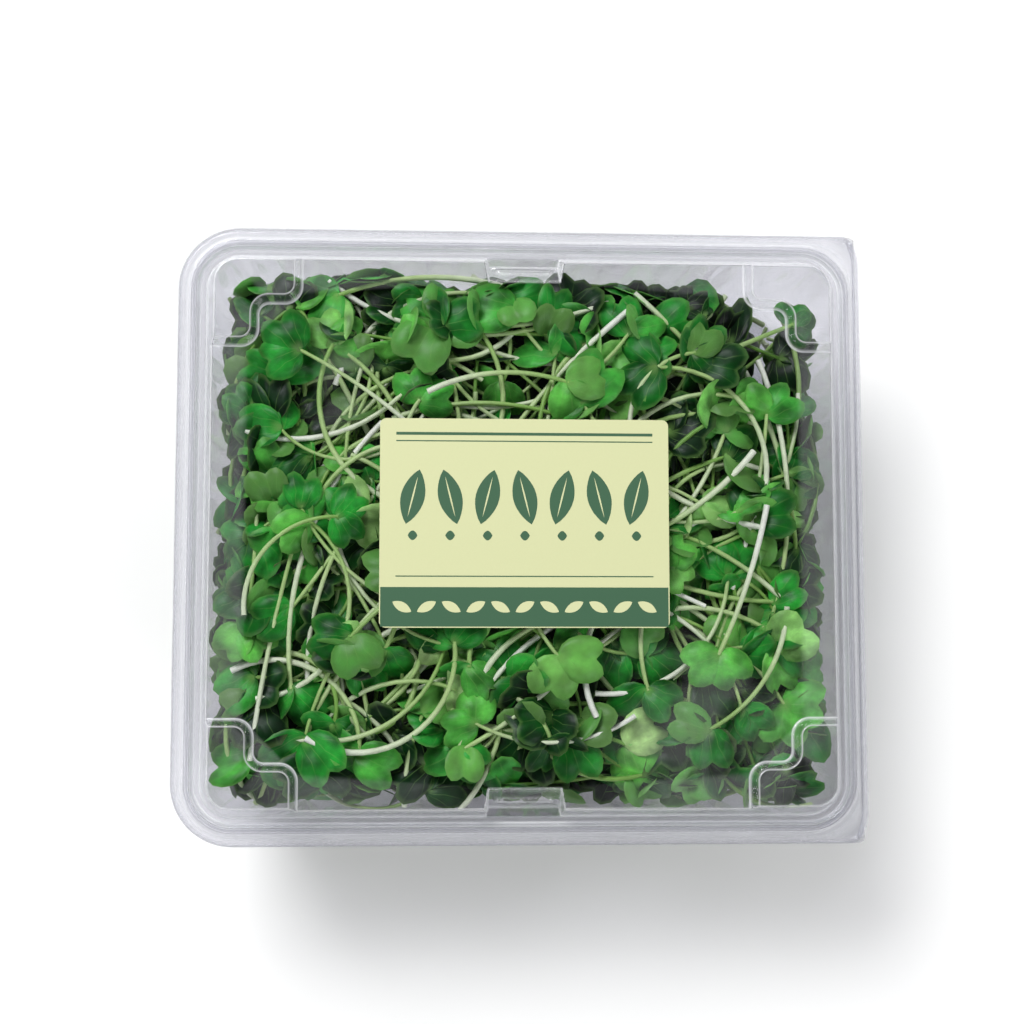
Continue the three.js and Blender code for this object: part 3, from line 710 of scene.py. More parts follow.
def make_blank_tray(count):
    """The tray before its flutes: a closed sheet, with what the flutes need as attributes."""
    upper = tray_profile()
    rings = upper + lower_profile(upper)[::-1]
    points, outward, flute = [], [], []
    for inset, z, share in rings:
        hinge_radius = None
        if inset < CORNER_BLEND:
            hinge_radius = HINGE_CORNER + (CORNER - CORNER_BLEND - HINGE_CORNER) * inset / CORNER_BLEND
        places, directions = even_ring(max(inset, 0.0), count, hinge_radius)
        limit = HINGE_X - ROLL_GAP
        points += [(min(p.x, limit), p.y, z) for p in places]
        outward += [(d.x, d.y, 0.0) for d in directions]
        flute += [share] * count
    faces = []
    last = len(rings) - 1
    middle = len(upper) - 1
    for r in [r for r in range(last) if r != middle]:
        for i in range(count):
            j = (i + 1) % count
            a, b = r * count + i, r * count + j
            faces.append((a, b, b + count, a + count))
    faces += [(last * count + i, last * count + (i + 1) % count, (i + 1) % count, i) for i in range(count)]
    faces.append(tuple(middle * count + i for i in range(count)))
    faces.append(tuple((middle + 1) * count + i for i in reversed(range(count))))
    mesh = mesh_from("tray_sheet", np.array(points) * MM, faces)
    store(mesh, "outward", "FLOAT_VECTOR", np.array(outward, np.float32))
    store(mesh, "flute", "FLOAT", np.array(flute, np.float32))
    phase = (np.tile(np.arange(count), len(rings)) + 0.5) / FLUTE_POINTS
    store(mesh, "phase", "FLOAT", phase.astype(np.float32))
    store(mesh, "bend", "FLOAT", np.repeat(profile_bend(upper, rings), count).astype(np.float32))
    return mesh


def new_tree(name, inputs):
    """An empty geometry nodes tree, the keys of its inputs by name, and its input sockets."""
    tree = bpy.data.node_groups.new(name, "GeometryNodeTree")
    keys = {}
    for title, kind in {"Geometry": "Geometry", **inputs}.items():
        socket = tree.interface.new_socket(title, in_out="INPUT", socket_type="NodeSocket" + kind)
        keys[title] = socket.identifier
    tree.interface.new_socket("Geometry", in_out="OUTPUT", socket_type="NodeSocketGeometry")
    return tree, keys, add_node(tree, "NodeGroupInput").outputs


def named(tree, name, kind):
    return add_node(tree, "GeometryNodeInputNamedAttribute", {"Name": name},
                    data_type=kind).outputs["Attribute"]


def painted(tree, shape, material):
    return add_node(tree, "GeometryNodeSetMaterial", {
        "Geometry": shape, "Material": material}).outputs["Geometry"]


def realised(tree, shape):
    return add_node(tree, "GeometryNodeRealizeInstances", {"Geometry": shape}).outputs["Geometry"]


def make_flute_tree():
    """Presses flutes into a blank tray: each point moves outwards by a wave of its phase."""
    tree, keys, given = new_tree("press_flutes", {"Depth": "Float", "Material": "Material"})
    turns = reckon(tree, "MULTIPLY", named(tree, "phase", "FLOAT"), 2 * math.pi)
    wave = reckon(tree, "MULTIPLY_ADD", reckon(tree, "COSINE", turns), -0.5, 0.5)
    share = reckon(tree, "MULTIPLY", wave, named(tree, "flute", "FLOAT"))
    depth = reckon(tree, "MULTIPLY", share, given["Depth"])
    moved = add_node(tree, "GeometryNodeSetPosition", {
        "Geometry": given["Geometry"],
        "Offset": scaled(tree, named(tree, "outward", "FLOAT_VECTOR"), depth)})
    shape = realised(tree, moved.outputs["Geometry"])
    add_node(tree, "NodeGroupOutput", {0: painted(tree, shape, given["Material"])})
    return tree, keys


def grow(blank, tree, inputs):
    """Runs a geometry nodes tree on an object and keeps the result as its plain mesh."""
    modifier = blank.modifiers.new("rule", "NODES")
    modifier.node_group = tree
    for key, value in inputs.items():
        modifier[key] = value
    graph = bpy.context.evaluated_depsgraph_get()
    graph.update()
    mesh = bpy.data.meshes.new_from_object(
        blank.evaluated_get(graph), preserve_all_data_layers=True, depsgraph=graph)
    blank.modifiers.clear()
    blank.data = mesh
    mesh.name = blank.name
    return blank


# The shoots. Places follow the same rule, seeds and order of draws as the solids in part.mjs.

FACES = [
    ("top", 5, 4, 148.0, 122.0, 11),
    ("front", 3, 2, 150.0, 38.0, 23),
    ("back", 3, 2, 150.0, 38.0, 37),
    ("left", 2, 2, 124.0, 38.0, 41),
    ("right", 2, 2, 124.0, 38.0, 59),
]
TOP_LEVEL = 51.5
SIDE_LEVEL = 28.0
SIDE_INSET = 3.4
TOP_HABIT = {"low": -1, "high": 2.4, "shortest": 26, "longest": 38, "bend": 1.2, "tilt": 0.3,
             "arch": 1, "sink": 0.34}
SIDE_HABIT = {**TOP_HABIT, "high": 1, "shortest": 21, "longest": 27, "bend": 0.7, "tilt": 0.2,
              "sink": 0.62}
LOOSE_HABIT = {"low": 61, "high": 66, "shortest": 44, "longest": 72, "bend": 2.1, "tilt": 0.1,
               "arch": 0.5, "sink": 0}
LOOSE = {"count": 18, "seed": 5, "clear": 0.4, "start_x": 78, "start_y": 66, "span_x": 87,
         "span_y": 75, "bottom": 59.4, "top": 67.6}
FEELER_STEPS = (0, 0.2, 0.4, 0.6, 0.8, 1)
FEELER_RADIUS = 1.15
BLADE_SPREAD = 1.04
STAGGER, JITTER = 0.25, 0.22
SUNK = 0.9
WORD = 0xFFFFFFFF


def random_from(seed):
    """Repeatable random numbers from 0 to 1, the same in every run."""
    state = [seed & WORD]

    def draw():
        state[0] = (state[0] + 0x6D2B79F5) & WORD
        mixed = ((state[0] ^ (state[0] >> 15)) * (state[0] | 1)) & WORD
        mixed = ((mixed + (((mixed ^ (mixed >> 7)) * (mixed | 61)) & WORD)) & WORD) ^ mixed
        return ((mixed ^ (mixed >> 14)) & WORD) / 4294967296
    return draw


def between(random, low, high):
    return low + (high - low) * random()


def draw_shoot(random, u, v, habit):
    shoot = {"u": u, "v": v}
    shoot["w"] = between(random, habit["low"], habit["high"])
    shoot["heading"] = between(random, 0, 2 * math.pi)
    shoot["length"] = between(random, habit["shortest"], habit["longest"])
    shoot["bend"] = between(random, -habit["bend"], habit["bend"])
    size = between(random, 0.86, 1.14)
    shoot["blades"] = []
    for side in (-1, 1):
        blade = {"turn": side * between(random, 0.5, 1.25)}
        blade["length"] = size * between(random, 12, 14.5)
        blade["width"] = size * between(random, 12.5, 15)
        blade["pitch"] = between(random, -habit["tilt"], habit["tilt"])
        blade["roll"] = between(random, -habit["tilt"], habit["tilt"])
        blade["fold"] = between(random, 0.05, 0.22) * habit["arch"]
        blade["curl"] = between(random, -0.18, 0.1) * habit["arch"]
        shoot["blades"].append(blade)
    return shoot


def stem_path(shoot, habit, steps):
    path = []
    u, v = shoot["u"], shoot["v"]
    part = shoot["length"] / steps
    for i in range(steps + 1):
        share = i / steps
        path.append((u, v, shoot["w"] - habit["sink"] * share * share * shoot["length"]))
        angle = shoot["heading"] + shoot["bend"] * (share + 0.5 / steps)
        u += part * math.cos(angle)
        v += part * math.sin(angle)
    return np.array(path)


def blade_matrix(shoot, blade):
    heading = shoot["heading"] + math.pi + blade["turn"]
    return (Matrix.Translation((shoot["u"], shoot["v"], shoot["w"] + BLADE_THICKNESS / 2))
            @ Matrix.Rotation(heading, 4, "Z") @ Matrix.Rotation(-blade["pitch"], 4, "Y")
            @ Matrix.Rotation(blade["roll"], 4, "X") @ Matrix.Translation((-SUNK, 0, 0)))


def feelers(shoot):
    """Balls that stand for a loose shoot when asking whether two of them touch."""
    balls = [(*p, STEM_RADIUS + 0.2) for p in stem_path(shoot, LOOSE_HABIT, 24)]
    for blade in shoot["blades"]:
        matrix = np.array(blade_matrix(shoot, blade))
        for x in FEELER_STEPS:
            for y in FEELER_STEPS:
                side = (y - 0.5) * BLADE_SPREAD
                z = blade["curl"] * x * x * blade["length"] - blade["fold"] * abs(side) * blade["width"]
                local = (x * blade["length"], side * blade["width"], z - BLADE_THICKNESS / 2, 1)
                balls.append((*(matrix @ local)[:3], FEELER_RADIUS))
    return np.array(balls)


def touches(one, other):
    apart = one[:, None, :3] - other[None, :, :3]
    reach = one[:, None, 3] + other[None, :, 3] + LOOSE["clear"]
    return bool(((apart ** 2).sum(2) < reach ** 2).any())


def place_loose_shoots():
    random = random_from(LOOSE["seed"])
    kept = []
    while len(kept) < LOOSE["count"]:
        u = between(random, -LOOSE["start_x"], LOOSE["start_x"])
        v = between(random, -LOOSE["start_y"], LOOSE["start_y"])
        shoot = draw_shoot(random, u, v, LOOSE_HABIT)
        tip = stem_path(shoot, LOOSE_HABIT, 24)
        if (np.abs(tip[:, 0]) >= LOOSE["span_x"]).any() or (np.abs(tip[:, 1]) >= LOOSE["span_y"]).any():
            continue
        balls = feelers(shoot)
        x, y, z = np.abs(balls[:, 0]), np.abs(balls[:, 1]), balls[:, 2]
        level = (z > LOOSE["bottom"] + STEM_RADIUS) & (z < LOOSE["top"] - STEM_RADIUS)
        if not (level & (x < LOOSE["span_x"]) & (y < LOOSE["span_y"])).all():
            continue
        if not any(touches(balls, other) for _, other in kept):
            kept.append((shoot, balls))
    return [shoot for shoot, _ in kept]


def face_matrix(name):
    x = WIDTH / 2 - FLOOR - SIDE_INSET
    y = DEPTH / 2 - FLOOR - SIDE_INSET
    columns = {
        "top": ((1, 0, 0), (0, 1, 0), (0, 0, 1), (0, 0, TOP_LEVEL)),
        "front": ((1, 0, 0), (0, 0, 1), (0, -1, 0), (0, -y, SIDE_LEVEL)),
        "back": ((-1, 0, 0), (0, 0, 1), (0, 1, 0), (0, y, SIDE_LEVEL)),
        "left": ((0, -1, 0), (0, 0, 1), (-1, 0, 0), (-x, 0, SIDE_LEVEL)),
        "right": ((0, 1, 0), (0, 0, 1), (1, 0, 0), (x, 0, SIDE_LEVEL)),
        "floor": ((1, 0, 0), (0, -1, 0), (0, 0, -1), (0, 0, 8.0)),
    }[name]
    matrix = Matrix(columns[:3]).transposed().to_4x4()
    matrix.translation = columns[3]
    return matrix


def turn_inward(shoot):
    if shoot["v"] * math.sin(shoot["heading"]) > 0:
        shoot["heading"] = -shoot["heading"]
    if shoot["u"] * math.cos(shoot["heading"]) > 0:
        shoot["heading"] = math.pi - shoot["heading"]


def rooted_shoots():
    """The shoots that the solid heap has, as (shoot, habit, matrix)."""
    found = []
    for name, columns, rows, span_u, span_v, seed in FACES:
        random = random_from(seed)
        habit = TOP_HABIT if name == "top" else SIDE_HABIT
        for row in range(rows):
            for column in range(columns):
                stagger = STAGGER if row % 2 else -STAGGER
                jitter_u = between(random, -JITTER, JITTER)
                jitter_v = between(random, -JITTER, JITTER)
                share_u = (column + 0.5 + stagger + jitter_u) / columns - 0.5
                share_v = (row + 0.5 + jitter_v) / rows - 0.5
                shoot = draw_shoot(random, share_u * span_u, share_v * span_v, habit)
                turn_inward(shoot)
                found.append((shoot, habit, face_matrix(name)))
    return found


# Room kept to the walls, to the lid's upstand (as an inset) and to the floor and the panel
WALL_CLEAR, UPSTAND_CLEAR, FACE_CLEAR = 1.2, 13.2, 0.9


def inside_punnet(points):
    """Whether points lie clear inside the closed punnet, in millimetres."""
    x, y, z = points.T
    inset = FLOOR + SHEET + WALL_CLEAR - WALL_LEAN * z
    inset = np.where(z > SEAM - 2, UPSTAND_CLEAR, inset)
    wall = edge_inset(x, y) > inset
    return bool((wall & (z > FOOT_RISE + SHEET + FACE_CLEAR) & (z < PANEL - SHEET - FACE_CLEAR)).all())


def blade_spots(shoot, blade, matrix):
    local = np.array(matrix @ blade_matrix(shoot, blade))
    spots = []
    for x, y in ((0.5, 0), (0.55, 0.55), (0.55, -0.55), (1.0, 0.3), (1.0, -0.3)):
        spots.append((local @ (x * blade["length"], y * blade["width"], 0, 1))[:3])
    return np.array(spots)


def fits(shoot, habit, matrix):
    turn = np.array(matrix)
    path = stem_path(shoot, habit, 8) @ turn[:3, :3].T + turn[:3, 3]
    if not inside_punnet(path):
        return False
    return all(inside_punnet(blade_spots(shoot, blade, matrix)) for blade in shoot["blades"])


def is_bare(place, draw):
    """Whether a spot stays empty: the far corner by the hinge is half bare, the other far one a little."""
    hinged = place.x + 0.9 * place.y - 122
    free = 0.9 * place.y - place.x - 138
    return draw < 0.93 * smooth_step(max(hinged, free) / 10)


# Draws allowed for each shoot, the spread of blade sizes, the share of a face's half span beyond which
# shoots may turn inward, and the share of blades that lie upside down
TRIES_EACH = 60
BLADE_SIZES = (0.88, 1.2)
EDGE = 0.72
FLIPPED = 0.16


def heap_shoots(face, count, seed, habit, spans, level, nearest=0.0, falls=False):
    """More shoots on one face of the heap. level gives how far out a shoot lies from u, v and a draw,
    nearest keeps them to the outer part of the face, and falls makes every stem hang down from its leaves."""
    random = random_from(seed)
    matrix = face_matrix(face)
    found = []
    tries = 0
    while len(found) < count and tries < count * TRIES_EACH:
        tries += 1
        u = between(random, -spans[0] / 2, spans[0] / 2)
        v = between(random, -spans[1] / 2, spans[1] / 2)
        shoot = draw_shoot(random, u, v, habit)
        shoot["w"] = level(u, v, random())
        if is_bare(matrix @ Vector((u, v, 0)), random()):
            continue
        if falls and math.sin(shoot["heading"] + shoot["bend"] / 2) > 0:
            shoot["heading"] = -shoot["heading"]
            shoot["bend"] = -shoot["bend"]
        for blade in shoot["blades"]:
            size = between(random, *BLADE_SIZES)
            blade["length"] *= size
            blade["width"] *= size
        edge = max(abs(u) / spans[0], abs(v) / spans[1]) * 2
        if edge < nearest:
            continue
        if edge > EDGE and random() < (0.35 if nearest else 0.7):
            turn_inward(shoot)
        if fits(shoot, habit, matrix):
            found.append((shoot, habit, matrix))
    return found


# One leaf pattern: a heart whose ribs fan out of its stalk

# Half the outline, as (degrees off the midrib, reach)
LEAF_FAN = ((0, 0.80), (10, 0.93), (22, 1.03), (36, 0.98), (50, 0.83), (64, 0.61), (78, 0.36), (88, 0.14))
LEAF_LENGTH = 1.03
LEAF_NARROW = 0.86
LEAF_HABITS = (
    {"fold": 0.06, "curl": -0.10, "wave": 0.9, "lean": 0.02},
    {"fold": 0.16, "curl": 0.08, "wave": -1.1, "lean": 0.09},
    {"fold": 0.26, "curl": -0.20, "wave": 1.3, "lean": -0.10},
    {"fold": 0.40, "curl": -0.05, "wave": -0.8, "lean": 0.06},
    {"fold": -0.20, "curl": -0.34, "wave": 1.2, "lean": -0.05},
    {"fold": -0.12, "curl": 0.24, "wave": -1.3, "lean": 0.11},
)


def leaf_faces(columns, rows):
    """Faces of a leaf's two layers, fanned from the stalk, and of the rim that closes them."""
    half = 1 + (columns + 1) * rows
    faces = []

    def spot(layer, column, row):
        return layer * half if row < 0 else layer * half + 1 + column * rows + row

    for column in range(columns):
        for layer in (0, 1):
            grid = [(layer * half, spot(layer, column, 0), spot(layer, column + 1, 0))]
            for row in range(rows - 1):
                grid.append((spot(layer, column, row), spot(layer, column, row + 1),
                             spot(layer, column + 1, row + 1), spot(layer, column + 1, row)))
            faces += grid if layer == 0 else [face[::-1] for face in grid]
        rim = rows - 1
        faces.append((spot(0, column, rim), spot(1, column, rim),
                      spot(1, column + 1, rim), spot(0, column + 1, rim)))
    for row in range(-1, rows - 1):
        faces.append((spot(0, 0, row), spot(1, 0, row), spot(1, 0, row + 1), spot(0, 0, row + 1)))
        end = (spot(0, columns, row), spot(0, columns, row + 1), spot(1, columns, row + 1))
        faces.append((*end, spot(1, columns, row)))
    return faces


def leaf_pattern(name, habit, columns, rows):
    """A unit leaf along +X, closed, about 0.035 thick, with its fan and its length as an attribute."""
    angles, reaches = np.array(LEAF_FAN).T
    points, marks = [], []
    shares = np.linspace(-1, 1, columns + 1)
    levels = np.linspace(0, 1, rows + 1)[1:]
    limit = angles[-1]
    for side in (1, -1):
        points.append((0, 0, side * 0.045))
        marks.append((0, 0, side))
        for v in shares:
            angle = v * limit
            reach = np.interp(abs(angle), angles, reaches) * (1 + habit["lean"] * v)
            for u in levels:
                r = reach * u * LEAF_LENGTH
                x = r * math.cos(math.radians(angle))
                y = r * math.sin(math.radians(angle)) * LEAF_NARROW
                wave = 0.028 * habit["wave"] * math.sin(7 * v + 2 * u) * u * u
                z = habit["curl"] * x * x - habit["fold"] * abs(y) + wave
                thick = 0.014 + 0.032 * math.exp(-(angle / 9) ** 2) * (1 - u) ** 1.5
                thick *= 0.45 if u == 1 else 1
                points.append((x, y, z + side * thick))
                marks.append((v, u, side))
    mesh = mesh_from(name, points, leaf_faces(columns, rows))
    store(mesh, "blade", "FLOAT_VECTOR", np.array(marks, np.float32))
    return mesh


def leaf_collection(name, columns, rows):
    collection = bpy.data.collections.new(name)
    bpy.context.scene.collection.children.link(collection)
    for i, habit in enumerate(LEAF_HABITS):
        title = f"{name}_{i}"
        made = bpy.data.objects.new(title, leaf_pattern(title, habit, columns, rows))
        made.hide_render = True
        collection.objects.link(made)
    return collection


def make_shoot_tree():
    """Turns seed data into shoots: edges become stems, marked points carry a leaf each."""
    tree, keys, given = new_tree("grow_shoots", {
        "Leaf Patterns": "Collection", "Stem Sides": "Int", "Stem Scale": "Float",
        "Leaf Material": "Material", "Stem Material": "Material"})
    split = add_node(tree, "GeometryNodeSeparateGeometry", {
        "Geometry": given["Geometry"], "Selection": named(tree, "is_leaf", "BOOLEAN")}).outputs
    curve = add_node(tree, "GeometryNodeMeshToCurve", {"Mesh": split["Inverted"]})
    ring = add_node(tree, "GeometryNodeCurvePrimitiveCircle", {
        "Radius": 1.0, "Resolution": given["Stem Sides"]})
    tube = add_node(tree, "GeometryNodeCurveToMesh", {
        "Fill Caps": True, "Curve": curve.outputs["Curve"], "Profile Curve": ring.outputs["Curve"],
        "Scale": reckon(tree, "MULTIPLY", named(tree, "thick", "FLOAT"), given["Stem Scale"])})
    stems = painted(tree, tube.outputs["Mesh"], given["Stem Material"])
    patterns = add_node(tree, "GeometryNodeCollectionInfo", {
        "Separate Children": True, "Reset Children": True, "Collection": given["Leaf Patterns"]})
    turn = add_node(tree, "FunctionNodeEulerToRotation", {"Euler": named(tree, "turn", "FLOAT_VECTOR")})
    leaves = add_node(tree, "GeometryNodeInstanceOnPoints", {
        "Pick Instance": True, "Points": split["Selection"],
        "Instance": patterns.outputs["Instances"], "Instance Index": named(tree, "pattern", "INT"),
        "Rotation": turn.outputs["Rotation"], "Scale": named(tree, "size", "FLOAT_VECTOR")})
    blades = painted(tree, realised(tree, leaves.outputs["Instances"]), given["Leaf Material"])
    joined = add_node(tree, "GeometryNodeJoinGeometry")
    for part in (stems, blades):
        tree.links.new(part, joined.inputs[0])
    smooth = add_node(tree, "GeometryNodeSetShadeSmooth", {
        "Shade Smooth": True, "Geometry": joined.outputs["Geometry"]})
    add_node(tree, "NodeGroupOutput", {0: smooth.outputs["Geometry"]})
    return tree, keys


# Painted shade deep in the heap: shoots have their full tint from this height up and lose it over this depth
# below, in millimetres, down to a share of it, darker where less light reaches. THICKEST is the radius of the
# thickest stem
SUNLIT = 61.0
DIM_DEPTH = 14.0
DIMMEST = 0.04
THICKEST = 0.95


def seed_data(name, group, steps, random, leaf_shade, stem_shade, paints_depth_shade):
    """A mesh of stem lines and leaf points for the shoot tree, from (shoot, habit, matrix) entries."""
    points, edges = [], []
    data = {"is_leaf": [], "thick": [], "share": [], "tint": [], "pattern": [], "turn": [], "size": []}

    def add(point, **values):
        points.append(point)
        blank = {"is_leaf": False, "thick": 0.0, "share": 0.0, "tint": 0.0, "pattern": 0,
                 "turn": (0, 0, 0), "size": (1, 1, 1)}
        for key, value in {**blank, **values}.items():
            data[key].append(value)

    for shoot, habit, matrix in group:
        turned = np.array(matrix)
        path = stem_path(shoot, habit, steps) @ turned[:3, :3].T + turned[:3, 3]
        # Painted shade: shoots rooted low in the heap get a darker tint
        depth = path[0, 2] - SUNLIT
        lit = min(1.0, max(DIMMEST, 1 + depth / DIM_DEPTH)) if paints_depth_shade else 1.0
        white = between(random, *stem_shade) * lit
        radius = THICKEST * between(random, 0.7, 1.0)
        first = len(points)
        for i, p in enumerate(path):
            share = i / steps
            add(tuple(p * MM), thick=radius * (0.78 + 0.3 * share) * MM, share=share, tint=white)
        edges += [(first + i, first + i + 1) for i in range(steps)]
        shade = random()
        for blade in shoot["blades"]:
            local = matrix @ blade_matrix(shoot, blade)
            local = local @ Matrix.Translation((0, 0, -BLADE_THICKNESS / 2))
            if random() < FLIPPED:
                local = local @ Matrix.Rotation(math.pi, 4, "X")
            length = blade["length"] * MM
            width = blade["width"] / BLADE_SPREAD * MM
            arch = int(random() * len(LEAF_HABITS)) if habit["arch"] == 1 else int(random() * 2)
            draw = 0.8 * shade + 0.2 * random()
            tint = min(1, leaf_shade[0] + (leaf_shade[1] - leaf_shade[0]) * draw) * lit
            add(tuple(local.translation * MM), is_leaf=True, tint=tint, pattern=arch,
                turn=tuple(local.to_euler("XYZ")), size=(length, width, length))
    mesh = bpy.data.meshes.new(name)
    mesh.from_pydata(points, edges, [])
    kinds = {"is_leaf": "BOOLEAN", "thick": "FLOAT", "share": "FLOAT", "tint": "FLOAT",
             "pattern": "INT", "turn": "FLOAT_VECTOR", "size": "FLOAT_VECTOR"}
    for key, kind in kinds.items():
        store(mesh, key, kind, np.array(data[key]))
    return mesh


# Room left to the sheet, the depth over which a shoot gives way, and how the lid's upstand leans
PRESSED = {"faces": 0.35, "wall": 0.4, "upstand": 0.6, "soft": 2.2, "lean": 0.28}


def press_in(mesh):
    """Presses what reaches the sheet back inside it, softly, as the closed punnet presses its shoots."""
    spots = np.empty(len(mesh.vertices) * 3)
    mesh.vertices.foreach_get("co", spots)
    x, y, z = spots.reshape(-1, 3).T / MM
    soft = PRESSED["soft"]
    ceiling = PANEL - SHEET - PRESSED["faces"]
    z = np.where(z > ceiling - soft, ceiling - soft * np.exp(-(z - ceiling + soft) / soft), z)
    floor = FOOT_RISE + SHEET + PRESSED["faces"]
    z = np.where(z < floor + soft, floor + soft * np.exp((z - floor - soft) / soft), z)
    wall = FLOOR + SHEET + PRESSED["wall"] - WALL_LEAN * np.minimum(z, SEAM)
    upstand = UPSTAND + SHEET + PRESSED["upstand"] + (z - SEAM) * PRESSED["lean"]
    wall = np.where(z > SEAM - 1, np.maximum(wall, upstand), wall)
    room = edge_inset(x, y) - wall
    step = 0.5
    inward = np.stack([edge_inset(x + step, y) - edge_inset(x - step, y),
                       edge_inset(x, y + step) - edge_inset(x, y - step)])
    inward /= np.maximum(np.hypot(*inward), 1e-6)
    push = np.where(room < soft, soft * np.exp(np.minimum((room - soft) / soft, 0)) - room, 0)
    x, y = x + inward[0] * push, y + inward[1] * push
    mesh.vertices.foreach_set("co", (np.stack([x, y, z], 1) * MM).ravel())
    mesh.update()


class Greens:
    """What every piece of shoots shares: the tree, its leaf patterns and its materials."""
    tree = None

    @classmethod
    def prepare(cls):
        if cls.tree is None:
            cls.tree, cls.keys = make_shoot_tree()
            cls.fine = leaf_collection("fine_leaf", 16, 2)
            cls.plain = leaf_collection("plain_leaf", 12, 2)
            cls.leaf = make_seed_leaf()
            cls.stem = make_stem()

    @classmethod
    def clear_patterns(cls):
        for collection in (cls.fine, cls.plain):
            for pattern in list(collection.objects):
                bpy.data.objects.remove(pattern)
            bpy.data.collections.remove(collection)

    @classmethod
    def piece(cls, name, group, steps, seed, leaf_shade, stem_shade, fine=True, paints_depth_shade=True):
        cls.prepare()
        data = seed_data(name, group, steps, random_from(seed), leaf_shade, stem_shade, paints_depth_shade)
        blank = new_object(name, data)
        made = grow(blank, cls.tree, {
            cls.keys["Leaf Patterns"]: cls.fine if fine else cls.plain,
            cls.keys["Stem Sides"]: shoots().stem_sides if fine else 5,
            cls.keys["Stem Scale"]: shoots().stem_scale,
            cls.keys["Leaf Material"]: cls.leaf, cls.keys["Stem Material"]: cls.stem})
        press_in(made.data)
        for key in ("is_leaf", "thick", "pattern", "turn", "size"):
            layer = made.data.attributes.get(key)
            if layer is not None:
                made.data.attributes.remove(layer)
        return made


# Operators: one for each piece or group of like pieces

class PUNNET_OT_tray(bpy.types.Operator):
    """Make the clear tray with its bead, fluted wall and foot ring"""
    bl_idname = "punnet.tray"
    bl_label = "Tray"

    def execute(self, context):
        count = settings().flute_count * FLUTE_POINTS
        blank = new_object("tray_shell", make_blank_tray(count))
        tree, keys = make_flute_tree()
        material = make_clear_sheet("clear_pet_tray", misted=False)
        tray = grow(blank, tree, {keys["Depth"]: settings().flute_depth, keys["Material"]: material})
        for key in ("outward", "flute", "phase"):
            tray.data.attributes.remove(tray.data.attributes[key])
        dress(tray, "base", "tray_sheet", "tray")
        return {"FINISHED"}


class PUNNET_OT_lid(bpy.types.Operator):
    """Make the clear lid with its bead, lugs and finger bays"""
    bl_idname = "punnet.lid"
    bl_label = "Lid"

    def execute(self, context):
        lid = new_object("lid_shell", make_lid_mesh())
        lid.data.materials.append(make_clear_sheet("clear_pet_lid", misted=True))
        dress(lid, "cover", "lid_sheet", "lid")
        return {"FINISHED"}


# The folded strip, in millimetres: its sheet, the room at its ends, the flaps under the tray's rim and
# over the lid's, and how far its ends draw in, over what length, to meet the rims' rounded corners
FOLD = {"sheet": 0.35, "end_gap": 1.6, "flap_low": 1.1, "flap_high": 1.0, "draw": 2.0, "draw_length": 9}


def fold_section():
    """The strip's closed section as (x, z): a half round about the hinge's axis, with a flap each way."""
    outer, inner = [], []
    for angle in np.radians(np.linspace(-90, 90, 13)):
        for line, radius in ((outer, ROLL), (inner, ROLL - FOLD["sheet"])):
            line.append((HINGE_X + radius * math.cos(angle), HINGE_Z + radius * math.sin(angle)))
    (low_x, low_z), (high_x, high_z) = outer[0], outer[-1]
    low_x -= FOLD["flap_low"]
    high_x -= FOLD["flap_high"]
    outer = [(low_x, low_z)] + outer + [(high_x, high_z)]
    inner = [(low_x, low_z + FOLD["sheet"])] + inner + [(high_x, high_z - FOLD["sheet"])]
    return outer + inner[::-1]


def fold_mesh():
    section = fold_section()
    half = DEPTH / 2 - FOLD["end_gap"]
    shares = np.linspace(0, 1, 7)
    rows = [(-half + FOLD["draw_length"] * t, FOLD["draw"] * (1 - t) ** 2) for t in shares]
    rows += [(half - FOLD["draw_length"] * t, FOLD["draw"] * (1 - t) ** 2) for t in shares[::-1]]
    points = [(x - drawn, y, z) for y, drawn in rows for x, z in section]
    count = len(section)
    faces = []
    for r in range(len(rows) - 1):
        for i in range(count):
            a, b = r * count + i, r * count + (i + 1) % count
            faces.append((a, a + count, b + count, b))
    faces.append(tuple(range(count)))
    faces.append(tuple((len(rows) - 1) * count + i for i in reversed(range(count))))
    mesh = mesh_from("hinge_fold", np.array(points) * MM, faces)
    # The whole strip carries half of the sheet's painted highlight for bends, as one long fold
    store(mesh, "bend", "FLOAT", np.full(len(points), 0.5, np.float32))
    return mesh


class PUNNET_OT_hinge(bpy.types.Operator):
    """Make the folded strip that joins the tray and the lid along the hinge"""
    bl_idname = "punnet.hinge"
    bl_label = "Living hinge"

    def execute(self, context):
        strip = new_object("hinge_fold", fold_mesh())
        strip.data.materials.append(make_clear_sheet("clear_pet_hinge", misted=False))
        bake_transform(strip)
        return {"FINISHED"}


# The label's plain design, in millimetres: ink thickness, the dark band, and two rows of leaves
INK_RISE = 0.03
BAND = 12.5
BAND_EDGE = 0.35
RULE_INSET = 5.0
LEAF_COUNT, LEAF_PITCH, LEAF_RAISE, LEAF_LEAN = 7, 11.6, 8.0, 14
DOT_DROP = 12.0
SPRIG_COUNT, SPRIG_PITCH, SPRIG_TILT = 11, 7.6, 28


def prism(outline, low, high, points, faces):
    """Adds a closed flat shape between two heights. outline runs anticlockwise."""
    first = len(points)
    count = len(outline)
    points += [(x, y, low) for x, y in outline] + [(x, y, high) for x, y in outline]
    faces.append(tuple(first + i for i in reversed(range(count))))
    faces.append(tuple(first + count + i for i in range(count)))
    for i in range(count):
        j = (i + 1) % count
        faces.append((first + i, first + j, first + count + j, first + count + i))


def lens(cx, cy, length, width, angle, steps=12):
    """A pointed oval, as an outline."""
    half = []
    for i in range(steps + 1):
        share = i / steps
        half.append((length * (share - 0.5), width / 2 * math.sin(math.pi * share) ** 0.8))
    ring = [(x, -y) for x, y in half] + [(x, y) for x, y in half[-2:0:-1]]
    c, s = math.cos(angle), math.sin(angle)
    return [(cx + c * x - s * y, cy + s * x + c * y) for x, y in ring]


